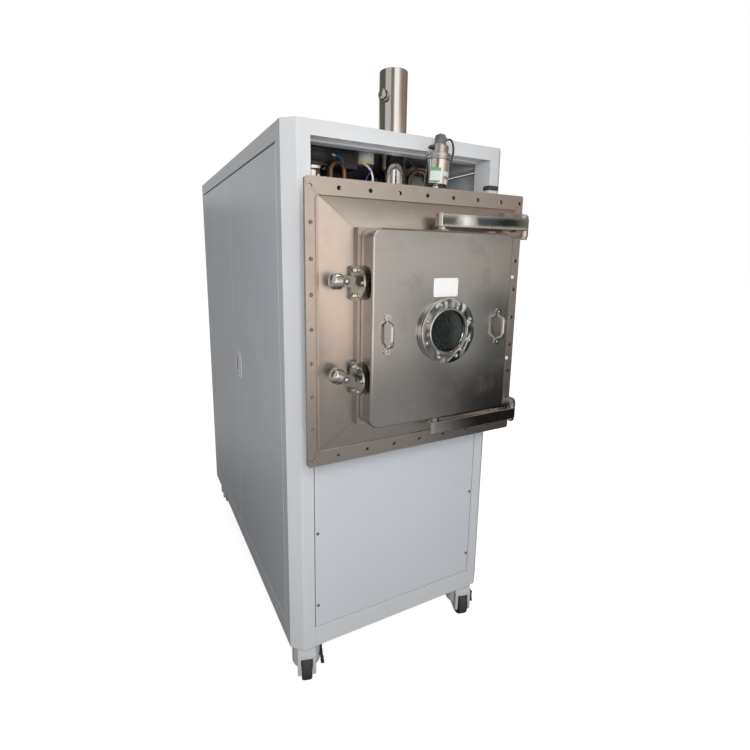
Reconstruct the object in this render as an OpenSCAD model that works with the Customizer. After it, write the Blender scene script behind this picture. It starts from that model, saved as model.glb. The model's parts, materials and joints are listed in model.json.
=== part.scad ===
// Pilot freeze dryer: square vacuum chamber in a steel cabinet on casters.
// X runs to the right seen from the front, Y to the back, Z up; the floor is Z = 0.

/* [Cabinet] */
// Width of the cabinet over its side panels
cab_w = 844; // [800:1:1100]
// Depth of the cabinet, front face to rear face
cab_d = 1535; // [1400:5:2000]
// Height of the cabinet body without its casters
cab_h = 1763; // [1700:1:1950]
// Width of a front post seen from the front
post_w = 80; // [60:1:90]
// Depth of a front post seen from the side
post_d = 84; // [70:1:110]
// Size of the 45 degree corner of the front posts
corner_cut = 39; // [20:1:45]
// Bend radius at the front edge of that corner
corner_r = 14; // [6:1:16]
// Bend radius of the rear corners
rear_r = 24; // [10:1:24]
// Height of the front top rail
head_h = 45; // [35:1:70]
// Height of the front and rear bottom rails
sill_h = 76; // [60:1:110]
// Height of the top side rails
eave_h = 53; // [40:1:70]
// Height of the bottom side rails
skirt_h = 72; // [45:1:80]
// Depth of the rails behind the skin
rail_d = 48; // [36:1:56]
// Sheet thickness of the frame
sheet = 2.5; // [2:0.1:4]
// Sheet thickness of the panels
panel_t = 1.5; // [1.2:0.1:2.5]
// Depth of the folded edges of the panels
fold_d = 22; // [15:1:30]
// Gap round every cabinet panel
panel_gap = 3; // [2:0.5:5]
// Height of the open slot between the top side rail and the side panels
vent_h = 7; // [4:0.5:12]
// Distance from the front face to the seam of the side panels
seam_y = 788; // [600:1:900]
// How far the lower front panel reaches up behind the wall flange
apron_lap = 32; // [10:1:60]
// Height of the open front between the wall flange and the top rail
service_h = 131; // [100:1:200]
// Gap between the insulated chamber and a front post
post_gap = 7; // [3:0.5:30]

/* [Casters] */
// Total height of a caster
caster_h = 155; // [145:1:180]
// Wheel diameter
wheel_d = 120; // [100:1:125]
// Wheel tread width
wheel_w = 38; // [28:1:40]
// Horizontal offset between swivel axis and axle
trail = 16; // [10:1:30]
// Direction the casters have rolled to, turned from straight ahead
caster_turn = 17; // [0:1:45]
// Swivel axis to the side face of the cabinet
caster_side = 68; // [60:1:90]
// Swivel axis to the front or rear face of the cabinet
caster_end = 66; // [56:1:120]

/* [Chamber front] */
// Width of the bolted wall flange
flange_w = 804; // [780:1:840]
// Height of the bolted wall flange
flange_h = 844; // [800:1:860]
// Thickness of the wall flange
flange_t = 12; // [8:0.5:16]
// Distance from the cabinet's front face to the flange's front face
flange_out = 109; // [95:1:130]
// Pitch of the flange holes
hole_pitch = 100; // [90:1:102]
// Side rows of holes to the flange's side edges
row_in_x = 16.4; // [12:0.1:20]
// Top and bottom rows of holes to the flange's top and bottom edges
row_in_z = 26.1; // [16:0.1:32]
// Diameter of a flange hole
hole_d = 13; // [9:0.5:16]
// Width of the flange outside the hood, at the sides
band_x = 35; // [30:1:50]
// Width of the flange outside the hood, at top and bottom
band_z = 46; // [40:1:60]
// Width of the hood's slopes at the sides
slope_x = 103; // [80:1:110]
// Width of the hood's slopes at top and bottom
slope_z = 87; // [70:1:95]
// How far the hood's slope stands out of the flange
slope_out = 21; // [15:1:30]
// How far the neck's rim stands out of the flange
rim_out = 49; // [40:1:60]
// Width and height of the weld bead round the hood
bead = 5; // [3:0.5:8]
// Sheet thickness of hood and chamber
wall = 4; // [3:0.5:6]
// Width of the hood's rim between the slopes and the mouth, at the sides
rim_x = 30; // [20:1:40]
// Width of the hood's rim between the slopes and the mouth, at top and bottom
rim_z = 25; // [20:1:40]
// Depth of the chamber behind the cabinet's front face
chamber_d = 800; // [760:5:1000]

/* [Door] */
// How far the door's sides stay inside the hood's neck
door_in_x = 10; // [2:0.5:14]
// How far the door's top and bottom stay inside the hood's neck
door_in_z = 3.5; // [2:0.5:12]
// Depth of the door pan
door_t = 68; // [50:1:80]
// Corner radius of the door
door_r = 28; // [20:1:40]
// Radius of the door's front edge
door_edge = 7; // [3:0.5:10]
// Sheet thickness of the door pan
door_wall = 3; // [2:0.5:4]
// Thickness of the squeezed door seal
seal_t = 2; // [1:0.5:3]
// Outer diameter of the sight glass rings
sight_d = 196; // [180:1:200]
// Clear diameter of the sight glass
sight_bore = 126; // [100:1:130]
// Bolt circle of the sight glass ring
sight_pcd = 169; // [160:1:172]
// Thickness of the sight glass cover ring
sight_t = 9; // [6:0.5:12]
// Thickness of the welded ring under it
base_t = 8; // [6:0.5:10]
// Bolt count of the sight glass ring
sight_n = 8; // [6:2:12]
// Handle distance from the door's edge
handle_in = 49; // [40:1:64]
// Handle height over its two tabs
handle_h = 117; // [100:1:140]
// How far the handle stands out
handle_out = 33; // [25:1:45]
// Width of the handle strap
handle_w = 10; // [8:1:18]
// Height of the sight glass, handles and plate below the chamber's centre
face_drop = 8; // [0:1:12]
// Width of the blank plate on the door
plate_w = 89; // [70:1:100]
// Height of the blank plate on the door
plate_h = 55; // [40:1:60]

/* [Hinges] */
// Height of a hinge arm
arm_h = 40; // [30:1:44]
// Depth of a hinge arm
arm_t = 28; // [22:1:30]
// Hinge axis inside the hood's foot
pivot_in = 10; // [6:1:20]
// Axis of the door's own pins to the middle of the cabinet
door_pin_x = 18; // [0:1:30]
// Hinge axes in front of the hood's rim
pin_lead = 8; // [5:1:12]
// Diameter of the hinge pins
pin_d = 14; // [12:1:18]
// Gap between the door's edge and the upper arm
arm_gap_top = 15; // [12:1:24]
// Gap between the door's edge and the lower arm
arm_gap_low = 33; // [20:1:36]

/* [Latches] */
// Latch distance above and below the chamber's centre
latch_z = 140; // [110:1:170]
// Distance of the latch pivots outside the hood's neck
latch_off = 44; // [40:1:48]
// Diameter of the latch knob
knob_d = 46; // [36:1:48]
// Length of the latch knob
knob_l = 36; // [26:1:40]
// Turn of the lower knob out of the level
low_turn = 25; // [0:1:30]
// Height of the latch bases below the latch pins
base_drop = 6; // [0:1:8]

/* [Top] */
// Outer diameter of the exhaust stack
stack_d = 101.6; // [80:0.1:104]
// Height of the stack's top over the floor
stack_top = 2180; // [2050:5:2250]
// Stack axis behind the cabinet's front face
stack_y = 220; // [170:1:260]
// Stack axis to the middle of the cabinet
stack_x = 62; // [40:1:90]
// Diameter of the vacuum gauge
gauge_d = 76; // [60:1:78]
// Height of the vacuum gauge body
gauge_h = 122; // [110:1:140]
// Gauge axis to the middle of the cabinet
gauge_x = 60; // [50:1:80]
// Gauge axis in front of the cabinet's front face
gauge_out = 55; // [50:1:58]

/* [Hidden] */
$fn = 48;
run = 0.05;          // radial clearance of a turning pin
gap = 0.4;           // clearance between faces that pass each other
over = 1;            // how far a cut runs past the metal
tab_l = 20;
tab_t = 5;
tab_w = 20;
grip_l = 58;
strap_t = 9;
spigot_d = 14;
pad_side = 67;
pad_w = 106;
pad_out = 30;
pad_h = 78;
ear_h = 16;
nut_w = 22;
nut_h = 9;
pin_over = 4;
half_w = cab_w / 2;
open_x = half_w - post_w;
body_top = caster_h + cab_h;
chamber_z = body_top - head_h - service_h - flange_h / 2;
apron_top = chamber_z - flange_h / 2 + apron_lap;
hood_x = flange_w / 2 - band_x;
hood_z = flange_h / 2 - band_z;
neck_x = hood_x - slope_x;
neck_z = hood_z - slope_z;
mouth_x = neck_x - rim_x;
mouth_z = neck_z - rim_z;
door_w = 2 * (neck_x - door_in_x);
door_h = 2 * (neck_z - door_in_z);
handle_x = door_w / 2 - handle_in;
pivot_x = hood_x - pivot_in;
latch_x = neck_x + latch_off;
pad_in = pivot_x - pad_side;
handle_front = flange_out + rim_out + seal_t + door_t + handle_out;
front_y = -(cab_d - handle_front) / 2;   // Y of the cabinet's front face
rail_x = half_w - rail_d;
rail_y = cab_d - rail_d;
head_d = 70;
head_lip = 6;
lip_d = 40;
pan_top = body_top - sheet;
seal_back = flange_out + rim_out;
door_back = seal_back + seal_t;
door_front = door_back + door_t;
door_top = chamber_z + door_h / 2;
door_low = chamber_z - door_h / 2;
pin_out = seal_back + pin_lead;
row_x = flange_w / 2 - row_in_x;
row_z = flange_h / 2 - row_in_z;
row_n = 3;
face_z = chamber_z - face_drop;
arm_up_z = door_top + arm_gap_top;
arm_low_z = door_low - arm_gap_low - arm_h;
washer_h = 4;
ear_up_z = arm_up_z - washer_h - ear_h;
ear_low_z = arm_low_z + arm_h + washer_h;
low_shift = arm_gap_low - arm_gap_top;
port_drop = 89;
port_z = stack_top - port_drop;
port_r = 13;
port_l = 22;
port_turn = 205;
stack_wall = 2;
stack_floor = 20;
bead_r = 23;
plug_in = 11;
plug_x = hood_x - plug_in;
plug_r = 6;
plug_up = 5;
shelf_up = 40;
shelf_z0 = chamber_z - mouth_z + shelf_up;
jacket_x = open_x - post_gap;
jacket_in = 8;
jacket_z = hood_z - jacket_in;
jacket_over = 60;
jacket_back = chamber_d + jacket_over;
jacket_top = chamber_z + jacket_z;
tube_x = mouth_x + wall;
tube_z = mouth_z + wall;
sight_front = door_front + base_t + sight_t;
sides = [-1, 1];
floor_t = 3;
floor_z = caster_h + floor_t;
vent_slots = 9;
slot_pitch = 34;
slot_part = 0.7;
foot_in = 40;
foot_l = 30;
foot_t = 3;
strip_up = 30;
strip_h = 15;
strip_t = 4;
pull_z = 1048;
pull_w = 15;
pull_h = 96;
pull_d = 16;
pull_edge = 42;
screw_in = 12;
screw_x = open_x - screw_in;
screw_up = 87;
screw_down = 56;
screw_low = caster_h + sill_h + screw_up;
screw_high = apron_top - screw_down;
screw_z = [screw_low, (screw_low + screw_high) / 2, screw_high];
screw_r = 5.5;
caster_xy = [
    [-(half_w - caster_side), caster_end],
    [half_w - caster_side, caster_end],
    [-(half_w - caster_side), cab_d - caster_end],
    [half_w - caster_side, cab_d - caster_end]];
plate_s = 84;
plate_bolt = 72;
plate_bolt_w = 10;
plate_bolt_h = 4;
plate_t = 4;
axle_r = 6;
wheel_r = wheel_d / 2;
fork_in = wheel_w / 2 + 2;
fork_out = 33;
fork_low = 26;
fork_top = caster_h - plate_t - gap;
crown_r = 51;
crown_low = 60;
crown_cone = 13;
window_top = 104;
brow_h = 6;
crown_step = 8;
cheek_back = 14;
king_r = 8;
king_head = 15;
king_head_h = 5;
king_z = 132;
pedal_z = 84;
pedal_w = 32;
pedal_t = 6;
pedal_low = 36;
pedal_pin = 3;
pedal_x = crown_r + 2 * pedal_pin;
lug_h = 16;
lug_over = 6;
ear_t = 4;
latch_base_in = 35;
latch_base_x = latch_x - latch_base_in;
latch_base_w = 17;
latch_base_h = 98;
latch_back = 8;
latch_front = seal_back - latch_back;
block_left = 11;
block_right = 26;
block_half = 15.5;
bolt_in = 13;
bolt_cap_r = 5.5;
pin_cap = 3;
pin_cap_over = 2;
latch_block = 31;
knob_in = 15;
latch_pin_r = 5;
glass_r = 75;
glass_t = 12;
spigot_r = 80;
tube_wall = 3;
tube_r = sight_bore / 2 + tube_wall;
gauge_rise = 15;
gauge_tilt = 5;
gauge_head_r = 29.5;
gauge_sink = 4;
gauge_z = chamber_z + flange_h / 2 + gauge_rise;
gauge_neck_r = 12;
gauge_nut_r = 24;
gauge_nut_h = 12;
gauge_nut_down = 24;
clamp_up = 77;
clamp_h = 20;
clamp_over = 2.5;
gauge_cap = 3;
gauge_cap_in = 4;
lead_foot = [36, 28, 16];
lead_body = [26, 24, 16];
lead_body_x = -14;
lead_gland_r = 9;
lead_gland_l = 20;
lead_gland_x = -6;
lead_gland_z = 22;
lead_gland_turn = 38;
seal_in = 2;
seal_clear = 4;
label_left = 6;
label_up = 4;
label_t = 1;
lug_clear = 2;
lug_t = 2;
lug_in = 1;
arm_end = 18;
arm_bevel = 7;
cone_h = 3;
shelf_n = 5;
shelf_over = 28;
shelf_pitch = (2 * mouth_z - shelf_up - shelf_over) / shelf_n;
shelf_x = 180;
shelf_y = 60;
shelf_d = 560;
shelf_t = 18;
shelf_post = 20;
post_in = 40;
plate_in = 20;
plate_end = 60;
cold_t = 8;
valve_in = 73;
valve_x = valve_in - jacket_x;
valve_y = 205;
valve_rise = 160;
valve_z = jacket_top + valve_rise;
valve_r = 68;
valve_h = 54;
valve_neck_r = 32;
valve_disc_r = 55;
valve_disc_t = 12;
valve_disc_up = 90;
valve_disc_down = 24;
box_gap = 4;
box_x = valve_x + valve_r + box_gap;
box_y = 190;
box_w = 108;
box_d = 110;
box_h = 85.5;
can_x = -50;
can_y = 215;
can_r = 30;
can_h = 61.5;
copper_r = 9.5;
left_tube = [-190, 150];
left_tube_w = 64;
left_tube_turn = 20;
left_tube_h = 150;
right_tube = [170, 205];
right_tube_w = 70;
right_tube_turn = -15;
right_tube_h = 162;
cabinet_in = 40;
cabinet_w = 134;
cabinet_y = 300;
cabinet_d = 420;
cabinet_h = 197;
comp_x = -130;
comp_y = 1120;
comp_r = 95;
comp_h = 280;
comp_dome_r = 50;
comp_dome_h = 34;
comp_base = 110;
comp_base_t = 8;
comp_foot = 90;
comp_foot_r = 14;
comp_foot_h = 42;
comp_sink = 2;
pump_x = 120;
pump_y = 520;
pump_rail_x = 90;
pump_rail_w = 30;
pump_rail_h = 20;
pump_rail_front = -180;
pump_rail_back = 90;
pump_body = [160, 210, 190];
pump_body_y = -190;
motor_r = 85;
motor_l = 210;
motor_z = 120;

// ---------- shared helpers ----------

// Moves children from the front face's own origin into the part's frame.
module place() translate([0, front_y, 0]) children();

// A box given by its low and high corners.
module block(lo, hi) translate(lo) cube(hi - lo);

// A rectangle centred on the origin with true arcs in its corners.
module round_rect(w, h, r) {
    square([w - 2 * r, h], center = true);
    square([w, h - 2 * r], center = true);
    for (x = sides, y = sides) translate([x * (w / 2 - r), y * (h / 2 - r)]) circle(r);
}

// Stands an XZ outline upright: its front is `out` in front of the front face, `t` thick.
module upright(out, t) translate([0, t - out, 0]) rotate([90, 0, 0]) linear_extrude(t) children();

// The same about the chamber's centre.
module chamber_face(out, t) translate([0, 0, chamber_z]) upright(out, t) children();

// A round bar along Y at x, z.
module rod_y(x, z, r, out, t) translate([x, t - out, z]) rotate([90, 0, 0]) cylinder(r = r, h = t);

// A hexagon of width `af` over its flats.
module hex(af, h) cylinder(r = af / sqrt(3), h = h, $fn = 6);

// A round bar along X from x, `l` long.
module rod_x(x, y, z, r, l) translate([x, y, z]) rotate([0, 90, 0]) cylinder(r = r, h = l);

// ---------- cabinet frame ----------

// Plan outline of the left front post: a 45 degree corner with one soft edge.
module post_plan() {
    k = corner_r * tan(22.5);
    polygon([[0, post_d], [0, corner_cut], [corner_cut - k / sqrt(2), k / sqrt(2)],
             [corner_cut + k, 0], [post_w, 0], [post_w, post_d]]);
    translate([corner_cut + k, corner_r]) circle(corner_r);
}

// The hollow of that post.
module post_core() {
    in = sheet * (sqrt(2) - 1);
    polygon([[sheet, post_d - sheet], [sheet, corner_cut + in], [corner_cut + in, sheet],
             [post_w - sheet, sheet], [post_w - sheet, post_d - sheet]]);
}

module left_post() translate([-half_w, 0, caster_h]) difference() {
    linear_extrude(cab_h) post_plan();
    translate([0, 0, -over]) linear_extrude(cab_h - sheet + over) post_core();
}

module front_posts() color("gainsboro") place() {
    left_post();
    mirror([1, 0, 0]) left_post();
}

// Plan outline of the left rear post with its bent corner, `in` smaller all round.
module rear_plan(in) {
    translate([in, in]) square([rail_d - 2 * in, rail_d - rear_r - in]);
    translate([rear_r, in]) square([rail_d - rear_r - in, rail_d - 2 * in]);
    translate([rear_r, rail_d - rear_r]) circle(rear_r - in);
}

module left_rear_post() translate([-half_w, rail_y, caster_h]) difference() {
    linear_extrude(cab_h) rear_plan(0);
    translate([0, 0, -over]) linear_extrude(cab_h - sheet + over) rear_plan(sheet);
}

module rear_posts() color("gainsboro") place() {
    left_rear_post();
    mirror([1, 0, 0]) left_rear_post();
}

// A hollow rail along X.
module rail_along_x(lo, hi) difference() {
    block(lo, hi);
    block([lo.x - over, lo.y + sheet, lo.z + sheet], [hi.x + over, hi.y - sheet, hi.z - sheet]);
}

// A hollow rail along Y.
module rail_along_y(lo, hi) difference() {
    block(lo, hi);
    block([lo.x + sheet, lo.y - over, lo.z + sheet], [hi.x - sheet, hi.y + over, hi.z - sheet]);
}

// Front top rail: a face with a drip lip, and a lower inner lip behind it.
module head_rail() {
    z0 = body_top - head_h;
    rail_along_x([-open_x, 0, z0 + head_lip], [open_x, head_d, body_top]);
    block([-open_x, 0, z0], [open_x, sheet, z0 + head_lip]);
    block([-open_x, head_d - sheet, z0], [open_x, head_d, z0 + head_lip]);
    block([-open_x, head_d, z0], [open_x, head_d + lip_d, z0 + sheet]);
}

module cross_rails() color("gainsboro") place() {
    head_rail();
    rail_along_x([-open_x, 0, caster_h], [open_x, rail_d, caster_h + sill_h]);
    rail_along_x([-rail_x, rail_y, body_top - eave_h], [rail_x, cab_d, body_top]);
    rail_along_x([-rail_x, rail_y, caster_h], [rail_x, cab_d, caster_h + sill_h]);
}

module side_rails() color("gainsboro") place() for (x = [-half_w, rail_x]) {
    rail_along_y([x, post_d, body_top - eave_h], [x + rail_d, rail_y, body_top]);
    rail_along_y([x, post_d, caster_h], [x + rail_d, rail_y, caster_h + skirt_h]);
}

module floor_pan() color("silver") place()
    difference() {
        block([-rail_x, rail_d, caster_h], [rail_x, rail_y, floor_z]);
        for (x = [-half_w, open_x]) block([x, 0, 0], [x + post_w, post_d, floor_z + over]);
    }

// ---------- panels ----------

module top_panel() color("gainsboro") place() difference() {
    union() {
        block([-rail_x, post_d, pan_top], [rail_x, rail_y, body_top]);
        block([-open_x, head_d, pan_top], [open_x, post_d, body_top]);
    }
    translate([stack_x, stack_y, pan_top - over])
        cylinder(d = stack_d, h = sheet + 2 * over, $fn = 64);
}

// A folded panel in the XZ plane that closes the rear.
module rear_panel() color("gainsboro") place() {
    x1 = rail_x - panel_gap;
    z0 = caster_h + sill_h + panel_gap;
    z1 = body_top - eave_h - panel_gap;
    difference() {
        block([-x1, cab_d - fold_d, z0], [x1, cab_d, z1]);
        block([-x1 + panel_t, cab_d - fold_d - over, z0 + panel_t],
              [x1 - panel_t, cab_d - panel_t, z1 - panel_t]);
        for (i = [0 : vent_slots - 1], s = sides)
            translate([s * x1 / 2, cab_d, z0 + post_w + i * slot_pitch])
                cube([x1 * slot_part, fold_d, slot_pitch / 3], center = true);
    }
    panel_feet([-x1, cab_d - fold_d, z0 - panel_gap], [x1, cab_d - fold_d / 2, z0]);
    panel_feet([-x1, cab_d - fold_d, z1], [x1, cab_d - fold_d / 2, z1 + panel_gap]);
}

// Two locating feet at the X ends of a panel's edge.
module panel_feet(lo, hi) {
    block([lo.x + foot_in, lo.y, lo.z], [lo.x + foot_in + foot_l, hi.y, hi.z]);
    block([hi.x - foot_in - foot_l, lo.y, lo.z], [hi.x - foot_in, hi.y, hi.z]);
}

// A folded panel on the left side from y0 to y1, with or without its flush pull.
module side_panel(y0, y1, pull) {
    z0 = caster_h + skirt_h + panel_gap;
    z1 = body_top - eave_h - vent_h;
    yp = y1 - pull_edge;
    zp = pull_z - pull_h / 2;
    x1 = -half_w + fold_d;
    difference() {
        union() {
            difference() {
                block([-half_w, y0, z0], [x1, y1, z1]);
                block([-half_w + panel_t, y0 + panel_t, z0 + panel_t], [x1 + over, y1 - panel_t, z1 - panel_t]);
            }
            if (pull) block([-half_w + panel_t / 2, yp - panel_t, zp - panel_t],
                            [-half_w + pull_d + panel_t, yp + pull_w + panel_t, zp + pull_h + panel_t]);
        }
        if (pull) block([-half_w - over, yp, zp], [-half_w + pull_d, yp + pull_w, zp + pull_h]);
    }
    for (y = [y0 + foot_in, y1 - foot_in - foot_l]) {
        block([x1 - foot_t, y, z0 - panel_gap], [x1, y + foot_l, z0]);
        block([x1 - foot_t, y, z1], [x1, y + foot_l, z1 + vent_h]);
    }
}

module left_front_panel() color("whitesmoke") place()
    side_panel(post_d + panel_gap, seam_y - panel_gap / 2, true);

module left_rear_panel() color("whitesmoke") place()
    side_panel(seam_y + panel_gap / 2, rail_y - panel_gap, false);

module right_front_panel() color("whitesmoke") place() mirror([1, 0, 0])
    side_panel(post_d + panel_gap, seam_y - panel_gap / 2, true);

module right_rear_panel() color("whitesmoke") place() mirror([1, 0, 0])
    side_panel(seam_y + panel_gap / 2, rail_y - panel_gap, false);

module lower_front_panel() color("lightsteelblue") place() {
    x1 = open_x - panel_gap;
    z0 = caster_h + sill_h + panel_gap;
    difference() {
        block([-x1, 0, z0], [x1, fold_d, apron_top]);
        block([-x1 + panel_t, panel_t, z0 + panel_t], [x1 - panel_t, fold_d + over, apron_top - panel_t]);
    }
    panel_feet([-x1, fold_d / 2, z0 - panel_gap], [x1, fold_d, z0]);
    for (s = sides) block([s * (x1 + panel_gap / 2) - panel_gap / 2, fold_d / 2, apron_top - foot_l],
                          [s * (x1 + panel_gap / 2) + panel_gap / 2, fold_d, apron_top]);
}

module panel_screws() color("silver") place() for (s = sides, z = screw_z) difference() {
    rod_y(s * screw_x, z, screw_r, panel_t, panel_t);
    rod_y(s * screw_x, z, screw_r / 2, panel_t + over, panel_t / 2 + over, $fn = 6);
}

// Rubber bumper bent round the inner corner of the right post, just over the flange.
module post_strip() color("black") place() {
    z0 = chamber_z + flange_h / 2 + strip_up;
    block([open_x - strip_t, -strip_t, z0], [open_x + post_w / 2, 0, z0 + strip_h]);
    block([open_x - strip_t, 0, z0], [open_x, post_d / 3, z0 + strip_h]);
}

// ---------- casters ----------

// Puts children on caster i, with Z up the swivel axis and -Y the way it has rolled.
module on_caster(i) place() translate([caster_xy[i].x, caster_xy[i].y, 0])
    rotate([0, 0, -caster_turn]) children();

module caster_plates() color("silver") place() for (c = caster_xy) translate([c.x, c.y, 0]) {
    z0 = caster_h - plate_t;
    translate([0, 0, z0 + plate_t / 2]) cube([plate_s, plate_s, plate_t], center = true);
    for (x = sides, y = sides) translate([x * plate_bolt / 2, y * plate_bolt / 2, z0 - plate_bolt_h])
        hex(plate_bolt_w, plate_bolt_h);
    translate([0, 0, king_z]) cylinder(r = king_r, h = z0 - king_z);
    translate([0, 0, king_z - king_head_h]) cylinder(r = king_head, h = king_head_h);
}

// Side outline of the part of the hood that reaches forward over the wheel.
module hood_side() polygon([
    [-trail - wheel_r, fork_low], [-trail - wheel_r, window_top + brow_h],
    [-crown_r + crown_step, fork_top - crown_cone], [0, fork_top - crown_cone], [0, crown_low - crown_step],
    [cheek_back - trail, fork_low]]);

module fork(pedal) {
    difference() {
        union() {
            translate([-fork_out, 0, 0]) rotate([90, 0, 90]) linear_extrude(2 * fork_out) hood_side();
            translate([0, 0, crown_low]) cylinder(r = crown_r, h = fork_top - crown_cone - crown_low);
            translate([0, 0, fork_top - crown_cone])
                cylinder(r1 = crown_r, r2 = crown_r - crown_cone, h = crown_cone);
            if (pedal) for (s = sides)
                translate([crown_r - ear_t, s * (pedal_w / 2 + gap + ear_t / 2) - ear_t / 2, pedal_z - lug_h / 2])
                    cube([pedal_x - crown_r + ear_t + lug_over, ear_t, lug_h]);
        }
        // room for the wheel, open to the front and below
        translate([-fork_in, -trail, wheel_r]) rotate([0, 90, 0])
            cylinder(r = wheel_r + ear_t, h = 2 * fork_in, $fn = 64);
        translate([-fork_in, -trail - 2 * wheel_r, 0]) cube([2 * fork_in, 2 * wheel_r, window_top]);
        translate([-fork_in, -trail, 0]) cube([2 * fork_in, 2 * wheel_r, crown_low]);
        // king pin and its head
        translate([0, 0, crown_low]) cylinder(r = king_r + run, h = caster_h);
        translate([0, 0, crown_low]) cylinder(r = king_head + gap, h = king_z + gap - crown_low);
    }
    rod_x(-fork_in - over, -trail, wheel_r, axle_r, 2 * fork_in + 2 * over);
    if (pedal) translate([pedal_x, -pedal_w / 2 - gap - over, pedal_z]) rotate([-90, 0, 0])
        cylinder(r = pedal_pin, h = pedal_w + 2 * gap + 2 * over);
}

module front_left_fork() color("lightgray") on_caster(0) fork(true);
module front_right_fork() color("lightgray") on_caster(1) fork(true);
module rear_left_fork() color("lightgray") on_caster(2) fork(false);
module rear_right_fork() color("lightgray") on_caster(3) fork(false);

module wheel() translate([0, -trail, wheel_r]) rotate([0, 90, 0]) {
    h = wheel_w / 2;
    rotate_extrude($fn = 64) polygon([
        [axle_r + run, -h], [wheel_r * 0.4, -h], [wheel_r * 0.45, -h + 3], [wheel_r * 0.72, -h + 3],
        [wheel_r - 4, -h], [wheel_r, -h + 6], [wheel_r, h - 6], [wheel_r - 4, h],
        [wheel_r * 0.72, h - 3], [wheel_r * 0.45, h - 3], [wheel_r * 0.4, h], [axle_r + run, h]]);
}

module front_left_wheel() color("dimgray") on_caster(0) wheel();
module front_right_wheel() color("dimgray") on_caster(1) wheel();
module rear_left_wheel() color("dimgray") on_caster(2) wheel();
module rear_right_wheel() color("dimgray") on_caster(3) wheel();

// Brake pedal: a plate that hangs on its pin beside the hood.
module pedal() difference() {
    union() {
        translate([pedal_x - pedal_t / 2, -pedal_w / 2, pedal_low])
            cube([pedal_t, pedal_w, pedal_z - pedal_low]);
        translate([pedal_x, -pedal_w / 2, pedal_z]) rotate([-90, 0, 0])
            cylinder(r = 2 * pedal_pin - gap, h = pedal_w);
        translate([pedal_x - pedal_t / 2, -pedal_w / 2, pedal_low]) cube([2 * pedal_t, pedal_w, pedal_t]);
    }
    translate([pedal_x, -pedal_w / 2 - over, pedal_z]) rotate([-90, 0, 0])
        cylinder(r = pedal_pin + run, h = pedal_w + 2 * over);
}

module front_left_pedal() color("black") on_caster(0) pedal();
module front_right_pedal() color("black") on_caster(1) pedal();

// ---------- wall flange, hood and chamber ----------

// Centres of the flange holes, seen about the chamber's centre.
module flange_spots() {
    for (z = sides, i = [-row_n : row_n]) translate([i * hole_pitch, z * row_z]) children();
    for (x = sides, i = [-row_n : row_n]) translate([x * row_x, i * hole_pitch]) children();
    for (x = sides, z = sides) translate([x * row_x, z * row_z]) children();
}

module wall_flange() color("lightgray") place() chamber_face(flange_out, flange_t) difference() {
    round_rect(flange_w, flange_h, flange_t * 0.7);
    square([2 * tube_x, 2 * tube_z], center = true);
    flange_spots() circle(d = hole_d, $fn = 32);
}

// Solid frustum and neck, `in` smaller all round.
module hood_solid(in) translate([0, 0, chamber_z]) {
    b = -flange_out;
    intersection() {
        upright(2 * flange_out, 2 * flange_out)
            round_rect(2 * hood_x + bead, 2 * hood_z + bead, bead_r - bead / 2);
        translate([0, 0, -hood_z]) linear_extrude(2 * hood_z) polygon([
            [-hood_x + in, b], [-neck_x + in, b - slope_out + in],
            [neck_x - in, b - slope_out + in], [hood_x - in, b]]);
        translate([-hood_x, 0, 0]) rotate([90, 0, 90]) linear_extrude(2 * hood_x) polygon([
            [b, -hood_z + in], [b - slope_out + in, -neck_z + in],
            [b - slope_out + in, neck_z - in], [b, hood_z - in]]);
    }
    translate([-neck_x + in, b - rim_out + in, -neck_z + in])
        cube([2 * (neck_x - in), rim_out - in, 2 * (neck_z - in)]);
}

// The weld bead round the hood's foot.
module weld_bead() chamber_face(flange_out + bead, bead) difference() {
    round_rect(2 * (hood_x + bead), 2 * (hood_z + bead), bead_r);
    square([2 * hood_x - bead, 2 * hood_z - bead], center = true);
}

module hood() color("lightgray") place() {
    difference() {
        hood_solid(0);
        hood_solid(wall);
        translate([-tube_x, -seal_back - over, chamber_z - tube_z])
            cube([2 * tube_x, rim_out + 2 * over, 2 * tube_z]);
    }
    weld_bead();
}

module chamber() color("silver") place() translate([0, 0, chamber_z]) difference() {
    block([-tube_x, -seal_back, -tube_z], [tube_x, chamber_d, tube_z]);
    block([-mouth_x, -seal_back - over, -mouth_z], [mouth_x, chamber_d - wall, mouth_z]);
}

module jacket() color("darkgray") place() translate([0, 0, chamber_z]) difference() {
    block([-jacket_x, flange_t - flange_out, -jacket_z], [jacket_x, jacket_back, jacket_z]);
    block([-tube_x, -flange_out, -tube_z], [tube_x, chamber_d, tube_z]);
}

module door_seal() color("darkslategray") place() chamber_face(door_back, seal_t) difference() {
    round_rect(door_w - 2 * seal_in, door_h - 2 * seal_in, door_r - seal_in);
    round_rect(2 * (tube_x + seal_clear), 2 * (tube_z + seal_clear), door_r / 2);
}

module hood_plugs() color("white") place() for (s = sides) difference() {
    rod_y(plug_x, chamber_z + s * (latch_z + plug_up), plug_r, flange_out + slope_out, slope_out);
    hood_solid(0);
}

// ---------- hinges ----------

// The welded block under one hinge, from z0 to z1.
module hinge_pad(z0, z1) difference() {
    block([pad_in, -flange_out - pad_out, z0], [pad_in + pad_w, -flange_out, z1]);
    hood_solid(0);
    weld_bead();
}

// Plan of the ear that carries a hinge pin.
module ear_plan() {
    translate([pivot_x, -pin_out]) circle(arm_t / 2);
    translate([pivot_x - arm_t / 2, -pin_out]) square([arm_t, pin_out - flange_out - pad_out + over]);
}

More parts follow.
